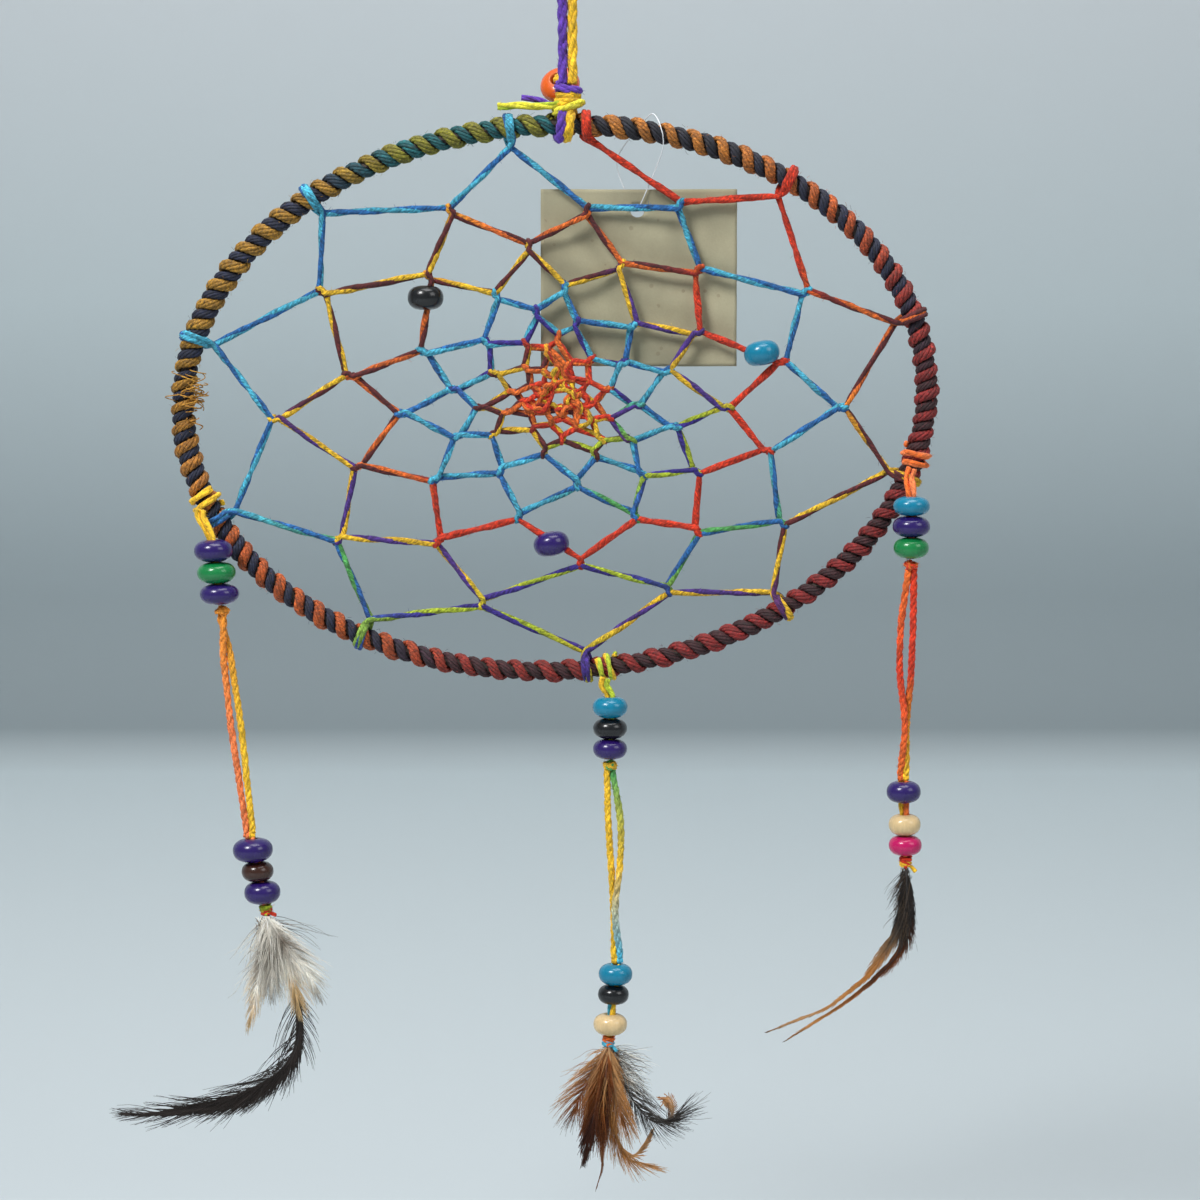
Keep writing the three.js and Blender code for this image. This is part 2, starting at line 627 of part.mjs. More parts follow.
function hangPendant({ name, angle, hitchAngle, leave, stack, beads, lower, lowerBeads, bow, colours }) {
  const tube = hoopFrame(radians(angle)).middle;
  const place = ([across, front, down]) => point(tube.x + across, -front, tube.z - down);
  const downWay = (lean) => point(Math.sin(radians(lean)), 0, -Math.cos(radians(lean)));
  const bore = DOUBLED_CORD + 2 * BORE_CLEARANCE;

  // Beads along a run of cord; gives back how far the run reaches.
  const thread = (label, run, list) => {
    const way = downWay(run.lean);
    let reach = 0;
    list.forEach(([colour, width, height, bare], i) => {
      reach += bare + GAP + height / 2;
      const bead = beadGeometry(width, height, bore);
      bead.rotateY(-radians(run.lean));
      const middle = place(run.at).addScaledVector(way, reach);
      bead.translate(middle.x, middle.y, middle.z);
      addPiece(`${name}_${label}_bead_${i + 1}`, bead, BEAD_COLOURS[colour], 0.25);
      reach += height / 2;
    });
    return reach;
  };

  // A doubled cord with a rounded top end.
  const doubledCord = (points, steps) => {
    const top = plainRound(DOUBLED_CORD, DOUBLED_CORD);
    top.translate(points[0].x, points[0].y, points[0].z);
    return join(cord(points, DOUBLED_CORD, steps), top);
  };

  addPiece(`${name}_hitch`, hitch(radians(hitchAngle), STRAND, HITCH_LOOPS), colours.cord, 0.9);
  const stackReach = thread('upper', stack, beads);
  const stackWay = downWay(stack.lean);
  const stackTop = place(stack.at);
  const stopMiddle = stackTop.clone().addScaledVector(stackWay, stackReach + GAP + STOP_KNOT / 2);
  const cordEnd = stackTop.clone().addScaledVector(stackWay, stackReach);
  const cordPoints = [place(leave), stackTop, stackTop.clone().lerp(cordEnd, 0.5), cordEnd];
  addPiece(`${name}_top_cord`, doubledCord(cordPoints, 7), colours.cord, 0.9);

  const stop = plainRound(STOP_KNOT, STOP_KNOT);
  stop.translate(stopMiddle.x, stopMiddle.y, stopMiddle.z);
  addPiece(`${name}_stop_knot`, welded(stop), colours.cord, 0.9);

  const pivot = place(lower.at);
  const strandTop = stopMiddle.clone().add(point(0, 0, -STOP_KNOT / 2 - GAP));
  const strandFoot = pivot.clone().add(point(0, 0, DOUBLED_CORD / 2 + GAP));
  const sides = { a: -1, b: 1 };
  for (const letter of Object.keys(sides)) {
    const side = sides[letter] * (STRAND / 2 + GAP / 2);
    const stands = [[0, 0], ...bow[letter], [0, 0]];
    const points = stands.map(([across, front], step) =>
      strandTop.clone()
        .lerp(strandFoot, step / (stands.length - 1))
        .add(point(side + across, -front, 0)),
    );
    addPiece(`${name}_strand_${letter}`, cord(points, STRAND, 12, STRAND_SIDES), colours[letter], 0.9);
  }

  const lowerReach = thread('lower', lower, lowerBeads);
  const lowerWay = downWay(lower.lean);
  const lowerEnd = pivot.clone().addScaledVector(lowerWay, lowerReach);
  const lowerPoints = [pivot, pivot.clone().lerp(lowerEnd, 0.5), lowerEnd];
  addPiece(`${name}_lower_cord`, doubledCord(lowerPoints, 2), colours.a, 0.9);

  const tie = new THREE.LatheGeometry(
    TIE_PROFILE.map(([radius, level]) => new THREE.Vector2(radius * TIE_WIDTH, level * TIE_HEIGHT)),
    BEAD_SEGMENTS,
  );
  tie.rotateX(Math.PI / 2);
  tie.rotateY(-radians(lower.lean));
  const tieMiddle = lowerEnd.clone().addScaledVector(lowerWay, GAP + TIE_HEIGHT / 2);
  tie.translate(tieMiddle.x, tieMiddle.y, tieMiddle.z);
  addPiece(`${name}_feather_tie`, facedOut(welded(tie)), colours.tie, 0.9);
  tieFoot[name] = tieMiddle.addScaledVector(lowerWay, TIE_HEIGHT / 2 + GAP);
}
PENDANTS.forEach(hangPendant);

// A feather: a thin vane, thickest along its quill, that follows a curved route.
const FEATHER_SPANS = 2;

function featherGeometry(foot, { route, widths, thickness }) {
  const places = route.map(([across, down, front]) => point(foot.x + across, foot.y - front, foot.z - down));
  const line = new THREE.CatmullRomCurve3(places, false, 'centripetal');
  const widest = Math.max(...widths);
  const spans = widths.length - 1;
  const stations = FEATHER_SPANS * spans;
  const rings = [];
  for (let i = 0; i <= stations; i += 1) {
    const share = i / stations;
    const middle = line.getPoint(share);
    const side = line.getTangent(share).cross(BACK).normalize();
    const span = Math.min(Math.floor(share * spans), spans - 1);
    const width = THREE.MathUtils.lerp(widths[span], widths[span + 1], share * spans - span);
    const depth = Math.max(thickness * (width / widest), 0.4);
    const corner = (across, back) =>
      middle.clone().addScaledVector(side, across * width).addScaledVector(BACK, back * depth);
    rings.push([
      corner(-0.5, 0), corner(-0.2, 0.5), corner(0.2, 0.5),
      corner(0.5, 0), corner(0.2, -0.5), corner(-0.2, -0.5),
    ]);
  }
  return skin(rings);
}
for (const feather of FEATHERS) {
  addPiece(feather.name, featherGeometry(tieFoot[feather.tie], feather), feather.colour, 0.8);
}

// Card on its thread: it hangs behind the web from the hoop's tube.
const cardAnchor = hoopFrame(radians(CARD_ANGLE)).middle;
const fromAnchor = (spot) => point(...spot).add(cardAnchor);
const cardMiddle = fromAnchor(CARD_MIDDLE);
const cardSheet = new THREE.BoxGeometry(CARD_WIDTH, CARD_THICKNESS, CARD_HEIGHT);
cardSheet.translate(cardMiddle.x, cardMiddle.y, cardMiddle.z);
const cardHole = fromAnchor(CARD_HOLE_SPOT);
const cardPunch = new THREE.CylinderGeometry(CARD_HOLE / 2, CARD_HOLE / 2, 4 * CARD_THICKNESS, 12);
cardPunch.translate(cardHole.x, cardHole.y, cardHole.z);
addPiece('paper_card', cut(cardSheet, cardPunch), 0xc8bea0, 0.95);
const cardThread = cord(CARD_THREAD_ROUTE.map(fromAnchor), CARD_THREAD, 26, 5);
addPiece('card_thread', cardThread, 0xe6ebee, 0.3);

export default dreamcatcher;
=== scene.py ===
"""Mandala dreamcatcher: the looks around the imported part.

Yarn, winding, beads, feathers and card are modelled over the frame's own places. Routes and sizes
repeat those of the part, in millimetres, and become metres as each piece is made.
"""

import json
import logging
import math
from collections.abc import Sequence
from dataclasses import dataclass, field
from enum import Enum

import bmesh
import bpy
import numpy as np
from mathutils import Matrix, Vector

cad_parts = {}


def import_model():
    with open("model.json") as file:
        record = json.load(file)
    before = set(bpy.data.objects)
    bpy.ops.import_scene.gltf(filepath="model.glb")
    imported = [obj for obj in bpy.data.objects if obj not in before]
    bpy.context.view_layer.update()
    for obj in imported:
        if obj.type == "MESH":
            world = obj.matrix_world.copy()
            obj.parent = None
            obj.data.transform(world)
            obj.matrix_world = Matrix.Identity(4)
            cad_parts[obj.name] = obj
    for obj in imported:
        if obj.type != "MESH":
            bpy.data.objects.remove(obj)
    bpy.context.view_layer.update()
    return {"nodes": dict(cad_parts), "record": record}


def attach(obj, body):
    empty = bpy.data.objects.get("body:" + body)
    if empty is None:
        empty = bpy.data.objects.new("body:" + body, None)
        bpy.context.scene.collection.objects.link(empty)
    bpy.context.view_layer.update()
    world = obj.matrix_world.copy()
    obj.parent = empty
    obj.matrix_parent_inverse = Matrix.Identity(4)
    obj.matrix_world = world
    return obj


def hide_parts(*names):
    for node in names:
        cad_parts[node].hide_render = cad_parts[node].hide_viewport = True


Array = np.ndarray
Chance = np.random.Generator
Material = bpy.types.Material
Piece = bpy.types.Object
Pair = tuple[float, float]
Spot = tuple[float, float, float]
Route = tuple[Spot, ...]
Rgb = tuple[int, int, int]

LOG = logging.getLogger("dreamcatcher")
MM = 0.001
BACK = np.array([0.0, 1.0, 0.0])
TINY = 1e-9
# Pale grey that the camera sees as the world, and that the sweep's painted glow rises to.
HAZE = (158, 168, 172)
NYLON = (0.86, 0.89, 0.92)
WIRE = (58, 50, 46)
WOOD = (196, 160, 116)
PLY_SHARES = {2: (0.37, 0.14), 3: (0.3, 0.22)}


def linear(rgb: Sequence[float]) -> Array:
    """A colour in 0 to 255 steps as linear light."""
    share = np.asarray(rgb, float) / 255
    return np.where(share <= 0.04045, share / 12.92, ((share + 0.055) / 1.055) ** 2.4)


def opaque(rgb: Sequence[float]) -> tuple[float, ...]:
    """A colour in 0 to 255 steps as a shader's socket takes it."""
    return (*linear(rgb), 1.0)


def unit(way: Array) -> Array:
    """A direction made one long, or each row of directions."""
    return way / np.maximum(np.linalg.norm(way, axis=-1, keepdims=True), TINY)


def blend_along(places: object, stops: Sequence[float], values: Array) -> Array:
    """Colours or points at places between stops, one a row."""
    return np.column_stack([np.interp(places, stops, values[:, k]) for k in range(3)])


def round_ways(angle: Array, first: Array, second: Array) -> Array:
    """Ways round an axis: its first side at no turn, its second at a quarter turn."""
    return np.cos(angle)[:, None] * first + np.sin(angle)[:, None] * second


class Dye(Enum):
    """The dyes of the yarns and cords."""

    RED = (222, 58, 26)
    ORANGE = (235, 112, 40)
    AMBER = (244, 152, 46)
    YELLOW = (246, 196, 42)
    YELLOW_GREEN = (178, 196, 48)
    GREEN = (88, 172, 92)
    TURQUOISE = (78, 182, 212)
    BLUE = (42, 112, 180)
    INDIGO = (62, 46, 146)
    PURPLE = (84, 52, 140)
    MAROON = (98, 34, 36)
    LEMON = (232, 222, 60)
    VIOLET = (96, 58, 168)
    SALMON = (240, 128, 72)
    COIL_NAVY = (28, 33, 56)
    COIL_BLACK = (24, 24, 36)
    COIL_MAROON = (58, 24, 28)
    COIL_TEAL = (22, 92, 96)
    COIL_OLIVE = (128, 124, 34)
    COIL_GOLD = (172, 126, 40)
    COIL_OCHRE = (180, 112, 40)
    COIL_ORANGE = (188, 88, 34)
    COIL_BRICK = (150, 46, 34)
    COIL_RED = (140, 34, 32)

    @property
    def light(self) -> Array:
        """The dye in linear light."""
        return linear(self.value)


class Lacquer(Enum):
    """The finishes of the turned beads."""

    PURPLE = (38, 18, 92)
    GREEN = (16, 122, 62)
    TURQUOISE = (8, 120, 152)
    BLACK = (12, 12, 15)
    BROWN = (56, 28, 16)
    CREAM = (216, 188, 140)
    PINK = (188, 14, 92)
    ORANGE = (214, 90, 14)


class Value:
    """A shader socket that takes part in Python expressions."""

    def __init__(self, nodes: "Nodes", socket: bpy.types.NodeSocket) -> None:
        """Keeps the socket and the nodes that it is among."""
        self.nodes = nodes
        self.socket = socket

    def _math(self, operation: str, first: "Value | float", second: "Value | float") -> "Value":
        """Adds one Math node."""
        return self.nodes.add("Math", 0, {"operation": operation}, i0=first, i1=second)

    def __add__(self, other: "Value | float") -> "Value":
        """This value plus another."""
        return self._math("ADD", self, other)

    def __sub__(self, other: "Value | float") -> "Value":
        """This value less another."""
        return self._math("SUBTRACT", self, other)

    def __rsub__(self, other: float) -> "Value":
        """A number less this value."""
        return self._math("SUBTRACT", other, self)

    def __mul__(self, other: "Value | float") -> "Value":
        """This value times another."""
        return self._math("MULTIPLY", self, other)

    def __gt__(self, other: float) -> "Value":
        """One where this value is the greater, and nought elsewhere."""
        return self._math("GREATER_THAN", self, other)

    __radd__ = __add__
    __rmul__ = __mul__


class Nodes:
    """A node tree in the making."""

    def __init__(self, tree: bpy.types.NodeTree) -> None:
        """Keeps the tree."""
        self.tree = tree

    def add(self, kind: str, output: int | str = 0, setup: dict | None = None, **inputs: object) -> Value:
        """Adds a node.

        Args:
            kind: the node's type, without the common first part of its name.
            output: which of its outputs to hand back.
            setup: the node's settings, with a ramp's stops under "stops".
            inputs: values or links of its sockets, by name, with _ for blanks, or i0, i1 by place.

        Returns:
            The output asked for.
        """
        node = self.tree.nodes.new("ShaderNode" + kind)
        for key, value in (setup or {}).items():
            if key == "stops":
                for stop, (place, colour) in zip(self._stops(node, len(value)), value):
                    stop.position = place
                    stop.color = (*colour, 1.0)
            else:
                setattr(node, key, value)
        for key, value in inputs.items():
            slot = node.inputs[int(key[1:])] if key[1:].isdigit() else node.inputs[key.replace("_", " ")]
            if isinstance(value, Value):
                self.tree.links.new(value.socket, slot)
            else:
                slot.default_value = value
        return Value(self, node.outputs[output])

    @staticmethod
    def _stops(node: bpy.types.Node, count: int) -> list[bpy.types.ColorRampElement]:
        """A ramp's stops, as many as are asked for.

        Args:
            node: the ramp.
            count: how many stops.

        Returns:
            The stops.
        """
        stops = node.color_ramp.elements
        while len(stops) < count:
            stops.new(0.5)
        return list(stops)

    def blend(self, share: Value, first: object, second: object) -> Value:
        """Mixes two colours by a share of the second."""
        return self.add("Mix", 2, {"data_type": "RGBA"}, i0=share, i6=first, i7=second)

    def noise(
        self, scale: float, detail: float = 2.0, place: Value | None = None, grain: float = 0.5
    ) -> Value:
        """A noise round one half, on the object's own metres unless a place is given."""
        place = place or self.add("TexCoord", "Object")
        return self.add("TexNoise", Vector=place, Scale=scale, Detail=detail, Roughness=grain)

    def seen(self) -> Value:
        """One on rays from the camera, off a gloss or through glass, and nought on all others."""
        straight = self.add("LightPath", "Is Camera Ray") + self.add("LightPath", "Is Glossy Ray")
        return straight + self.add("LightPath", "Is Transmission Ray")


class Surface(Nodes):
    """A material in the making: one Principled shader and the nodes that feed it."""

    def __init__(self, name: str, **settings: float | Sequence[float]) -> None:
        """Starts a material.

        Args:
            name: the material's name.
            settings: values of the shader's own sockets, with _ for the blanks in their names.
        """
        self.material = bpy.data.materials.new(name)
        self.material.use_nodes = True
        super().__init__(self.material.node_tree)
        self.shader = self.tree.nodes["Principled BSDF"]
        for key, value in settings.items():
            self.shader.inputs[key.replace("_", " ")].default_value = value

    def feed(self, socket: str, value: Value) -> None:
        """Links a value to one of the shader's sockets."""
        self.tree.links.new(value.socket, self.shader.inputs[socket])

    def raise_by(self, height: Value, depth: float, strength: float = 1.0) -> None:
        """Bumps the surface by a pattern of 0 to 1, to a depth in metres."""
        self.feed("Normal", self.add("Bump", Strength=strength, Distance=depth, Height=height))

    def shade(self, colour: Value | Sequence[float], tone: Value) -> Value:
        """A colour with its lightness multiplied by a tone."""
        return self.add("HueSaturation", Value=tone, Color=colour)


@dataclass(frozen=True)
class YarnFinish:
    """Soft dyed yarn: its colour is in the mesh, with fine fibres along the plies."""

    name: str
    depth: float = 0.6
    streak: float = 1.0
    sheen: float = 0.06
    roughness: float = 0.88
    fibre_scale: float = 2.4
    speck_scale: float = 1300.0
    contrast: float = 8.0
    bump: float = 0.0003

    def make(self) -> Material:
        """Builds the material.

        Returns:
            The material.
        """
        look = Surface(self.name, Roughness=self.roughness, Sheen_Weight=self.sheen, Sheen_Roughness=0.5)
        dye = look.add("Attribute", "Color", {"attribute_name": "dye"})
        lay = look.add("Attribute", "Vector", {"attribute_name": "lay"})
        fibres = look.noise(self.fibre_scale, 3.0, lay, grain=0.6)
        specks = look.noise(self.speck_scale, 3.0)
        uneven = self.contrast * fibres * fibres * specks
        tone = self.depth * (1 - self.streak) + self.depth * self.streak * uneven
        look.feed("Base Color", look.shade(dye, tone))
        look.raise_by(0.7 * fibres + 0.3 * specks, self.bump, 0.9)
        return look.material


@dataclass(frozen=True)
class BeadFinish:
    """Lacquer over turned wood, thin at the bore's lip and dulled in places."""

    lacquer: Lacquer
    grain_scale: Spot = (1500.0, 1500.0, 260.0)
    cloud_scale: float = 320.0
    bump: float = 0.00005

    def make(self) -> Material:
        """Builds the material.

        Returns:
            The material.
        """
        colour = linear(self.lacquer.value)
        bare = self.lacquer is Lacquer.CREAM
        name = f"bead_{self.lacquer.name.lower()}_lacquer"
        look = Surface(name, Coat_Weight=0.4, Coat_Roughness=0.05, Specular_IOR_Level=0.3)
        place = look.add("TexCoord", "Object")
        stretched = look.add("Mapping", Vector=place, Scale=self.grain_scale)
        grain = look.noise(1.0, 4.0, stretched, grain=0.6)
        clouds = look.noise(self.cloud_scale, 3.0, place)
        wear = look.add("Attribute", "Fac", {"attribute_name": "wear"})
        spread = 0.7 if bare else 0.42
        tone = (1 - 0.62 * spread) + spread * (0.6 * grain + 0.6 * clouds)
        painted = look.shade((*colour, 1.0), tone)
        rubbed = (*(colour * 0.55 + linear(WOOD) * 0.25), 1.0)
        look.feed("Base Color", look.blend(0.55 * wear, painted, rubbed))
        look.feed("Roughness", 0.16 + 0.22 * clouds + 0.3 * wear)
        look.raise_by(grain, self.bump, 0.35)
        return look.material


@dataclass(frozen=True)
class FeatherFinish:
    """Barbs with a silky shine: their colour is in the mesh."""

    name: str = "feather_barbs"
    mottle_scale: float = 700.0

    def make(self) -> Material:
        """Builds the material.

        Returns:
            The material.
        """
        look = Surface(self.name, Sheen_Weight=0.04, Specular_IOR_Level=0.22)
        dye = look.add("Attribute", "Color", {"attribute_name": "dye"})
        mottle = look.noise(self.mottle_scale, 3.0)
        look.feed("Base Color", look.shade(dye, 0.72 + 0.56 * mottle))
        look.feed("Roughness", 0.45 + 0.25 * mottle)
        return look.material


@dataclass(frozen=True)
class PaperFinish:
    """Handmade paper: pale, with faint clouds and dark flecks."""

    colour: Rgb = (163, 157, 131)
    fleck: Rgb = (120, 104, 82)
    cloud_scale: float = 70.0
    pulp_scale: float = 1600.0
    fleck_scale: float = 260.0
    patch_scale: float = 120.0
    bump: float = 0.00008

    def make(self) -> Material:
        """Builds the material.

        Returns:
            The material.
        """
        look = Surface("handmade_paper", Roughness=0.95, Specular_IOR_Level=0.2)
        place = look.add("TexCoord", "Object")
        clouds = look.noise(self.cloud_scale, 4.0, place)
        pulp = look.noise(self.pulp_scale, 3.0, place)
        cells = {"feature": "F1"}
        flecks = look.add("TexVoronoi", "Distance", cells, Vector=place, Scale=self.fleck_scale)
        strewn = look.noise(self.patch_scale, 1.0, place)
        dark = (1 - (flecks > 0.16)) * (strewn > 0.56)
        sheet = look.shade(opaque(self.colour), 0.64 + 0.6 * clouds + 0.12 * pulp)
        look.feed("Base Color", look.blend(0.3 * dark, sheet, opaque(self.fleck)))
        look.raise_by(pulp, self.bump, 0.6)
        return look.material


def wire_finish() -> Material:
    """Drawn steel wire, dulled.

    Returns:
        The material.
    """
    look = Surface("drawn_wire", Metallic=0.8, Base_Color=opaque(WIRE))
    scuffs = look.noise(900.0, 4.0)
    look.feed("Roughness", 0.45 + 0.3 * scuffs)
    look.raise_by(scuffs, 0.00003, 0.4)
    return look.material


def nylon_finish() -> Material:
    """Clear nylon thread.

    Returns:
        The material.
    """
    look = Surface("clear_nylon", Base_Color=(*NYLON, 1.0), Alpha=0.75)
    look.feed("Roughness", 0.12 + 0.2 * look.noise(500.0))
    return look.material


def lengths_along(line: Array) -> Array:
    """How far along a line each of its points is."""
    return np.concatenate([[0], np.cumsum(np.linalg.norm(np.diff(line, axis=0), axis=1))])


def smooth_route(points: Array, step: float, extras: Array | None = None) -> tuple:
    """Runs a smooth line through points and sets it out evenly.

    Args:
        points: the points it passes through, one a row.
        step: the length of one step along it.
        extras: a value at each point, carried along.

    Returns:
        The line's points, and the carried values at them.
    """
    points = np.asarray(points, float)
    extras = np.zeros(len(points)) if extras is None else np.asarray(extras, float)
    padded = np.vstack([2 * points[0] - points[1], points, 2 * points[-1] - points[-2]])
    gaps = np.maximum(np.linalg.norm(np.diff(padded, axis=0), axis=1), TINY) ** 0.5
    knots = np.concatenate([[0], np.cumsum(gaps)])
    line, carried = [], []
    for i in range(len(points) - 1):
        k0, k1, k2, k3 = knots[i : i + 4]
        p0, p1, p2, p3 = padded[i : i + 4]
        count = max(3, int(np.linalg.norm(p2 - p1) / step * 2))
        t = np.linspace(k1, k2, count, endpoint=i == len(points) - 2)[:, None]
        a1 = (k1 - t) / (k1 - k0) * p0 + (t - k0) / (k1 - k0) * p1
        a2 = (k2 - t) / (k2 - k1) * p1 + (t - k1) / (k2 - k1) * p2
        a3 = (k3 - t) / (k3 - k2) * p2 + (t - k2) / (k3 - k2) * p3
        b1 = (k2 - t) / (k2 - k0) * a1 + (t - k0) / (k2 - k0) * a2
        b2 = (k3 - t) / (k3 - k1) * a2 + (t - k1) / (k3 - k1) * a3
        line.append((k2 - t) / (k2 - k1) * b1 + (t - k1) / (k2 - k1) * b2)
        share = (t[:, 0] - k1) / (k2 - k1)
        carried.append(extras[i] * (1 - share) + extras[i + 1] * share)
    line = np.vstack(line)
    carried = np.concatenate(carried)
    reach = lengths_along(line)
    even = np.linspace(0, reach[-1], max(4, int(round(reach[-1] / step)) + 1))
    return blend_along(even, reach, line), np.interp(even, reach, carried)


def side_frames(line: Array) -> tuple[Array, Array]:
    """Two sides square to a line, carried along it without a twist.

    Args:
        line: the line's points.

    Returns:
        The two sides at each point.
    """
    way = unit(np.gradient(line, axis=0))
    start = np.cross(way[0], BACK)
    if np.linalg.norm(start) < 0.1:
        start = np.cross(way[0], (1.0, 0.0, 0.0))
    first = np.zeros_like(line)
    side = unit(start)
    for i, tangent in enumerate(way):
        side = unit(side - tangent * (side @ tangent))
        first[i] = side
    return first, np.cross(way, first)


class FibreBundle:
    """Strands that become one mesh: tubes of a few sides, each with its dye and the lay of its fibres."""

    def __init__(self, resolution: int = 1) -> None:
        """Starts an empty bundle.

        Args:
            resolution: a tube gets four sides, and two more for each step of this.
        """
        self.resolution = resolution
        self.lines: list[Array] = []
        self.radii: list[Array] = []
        self.dyes: list[Array] = []
        self.slants: list[float] = []

    def add(self, line: Array, radius: object, dye: Array, slant: float = 0.0) -> None:
        """Adds a strand.

        Args:
            line: its points, in millimetres.
            radius: its radius, one number or one at each point.
            dye: its colour, one or one at each point.
            slant: turns of its fibres round it in a millimetre.
        """
        count = len(line)
        self.lines.append(np.asarray(line, float))
        self.radii.append(np.broadcast_to(np.asarray(radius, float), (count,)).copy())
        self.dyes.append(np.broadcast_to(np.asarray(dye, float), (count, 3)).copy())
        self.slants.append(slant)

    def weave(self, name: str, material: Material) -> Piece:
        """Makes the mesh.

        Args:
            name: the piece's name.
            material: its finish.

        Returns:
            The piece, at the origin.
        """
        data = bpy.data.curves.new(name, "CURVE")
        data.dimensions = "3D"
        data.bevel_depth = 1.0
        data.bevel_resolution = self.resolution
        for line, radius in zip(self.lines, self.radii):
            spline = data.splines.new("POLY")
            spline.points.add(len(line) - 1)
            spots = np.column_stack([line * MM, np.ones(len(line))])
            spline.points.foreach_set("co", spots.astype(np.float32).ravel())
            spline.points.foreach_set("radius", (radius * MM).astype(np.float32))
        guide = bpy.data.objects.new(name + "_guide", data)
        bpy.context.scene.collection.objects.link(guide)
        graph = bpy.context.evaluated_depsgraph_get()
        mesh = bpy.data.meshes.new_from_object(guide.evaluated_get(graph))
        bpy.data.objects.remove(guide)
        bpy.data.curves.remove(data)
        self._dress(mesh)
        work = bmesh.new()
        work.from_mesh(mesh)
        bpy.data.meshes.remove(mesh)
        rims = [edge for edge in work.edges if edge.is_boundary]
        bmesh.ops.holes_fill(work, edges=rims, sides=0)
        return finish_mesh(work, name, material)

    def _dress(self, mesh: bpy.types.Mesh) -> None:
        """Writes the dye and the lay of the fibres on the mesh's points.

        Args:
            mesh: the tubes' mesh, ring after ring along each strand.
        """
        sides = 2 * (self.resolution + 2)
        turn = 2 * np.pi * np.arange(sides) / sides
        dyes, lays = [], []
        for k, (line, dye, slant) in enumerate(zip(self.lines, self.dyes, self.slants)):
            reach = lengths_along(line)
            angle = turn[None, :] + 2 * np.pi * slant * reach[:, None]
            run = np.repeat(reach[:, None] * 0.3, sides, axis=1) + 3.7 * k
            lays.append(np.stack([np.cos(angle) * 0.6, np.sin(angle) * 0.6, run], axis=2).reshape(-1, 3))
            dyes.append(np.repeat(np.column_stack([dye, np.ones(len(dye))]), sides, axis=0))
        colour = mesh.color_attributes.new("dye", "FLOAT_COLOR", "POINT")
        colour.data.foreach_set("color", np.vstack(dyes).astype(np.float32).ravel())
        lay = mesh.attributes.new("lay", "FLOAT_VECTOR", "POINT")
        lay.data.foreach_set("vector", np.vstack(lays).astype(np.float32).ravel())


def finish_mesh(work: bmesh.types.BMesh, name: str, material: Material) -> Piece:
    """Turns all faces outwards, smooths them and puts the mesh in the scene.

    Args:
        work: the mesh in the making, in its place, which is used up.
        name: the piece's name.
        material: its finish.

    Returns:
        The piece.
    """
    bmesh.ops.recalc_face_normals(work, faces=work.faces)
    for face in work.faces:
        face.smooth = True
    mesh = bpy.data.meshes.new(name)
    work.to_mesh(mesh)
    work.free()
    mesh.materials.append(material)
    piece = bpy.data.objects.new(name, mesh)
    bpy.context.scene.collection.objects.link(piece)
    return piece


@dataclass
class Kit:
    """The finishes, and the one way that pieces join the frame."""

    slots: dict[str, str]
    yarn: Material
    cord: Material
    coil: Material
    feather: Material
    paper: Material
    nylon: Material
    beads: dict[Lacquer, Material]

    def add(self, piece: Piece, body: str, node: str) -> None:
        """Rides a piece on a body in place of a CAD node.

        Args:
            piece: the piece.
            body: the body it moves with.
            node: the node that it stands for.
        """
        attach(piece, body)
        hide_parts(node)
        LOG.info("%s: %d faces on %s", piece.name, len(piece.data.polygons), body)

    def knit(self, bundle: FibreBundle, body: str, node: str, name: str = "") -> Piece:
        """Weaves cord as the piece that stands for a node.

        Args:
            bundle: the cord's strands.
            body: the body it moves with.
            node: the node that it stands for.
            name: the piece's name, where it isn't the node's with "_yarn".

        Returns:
            The piece.
        """
        piece = bundle.weave(name or node + "_yarn", self.cord)
        self.add(piece, body, node)
        return piece


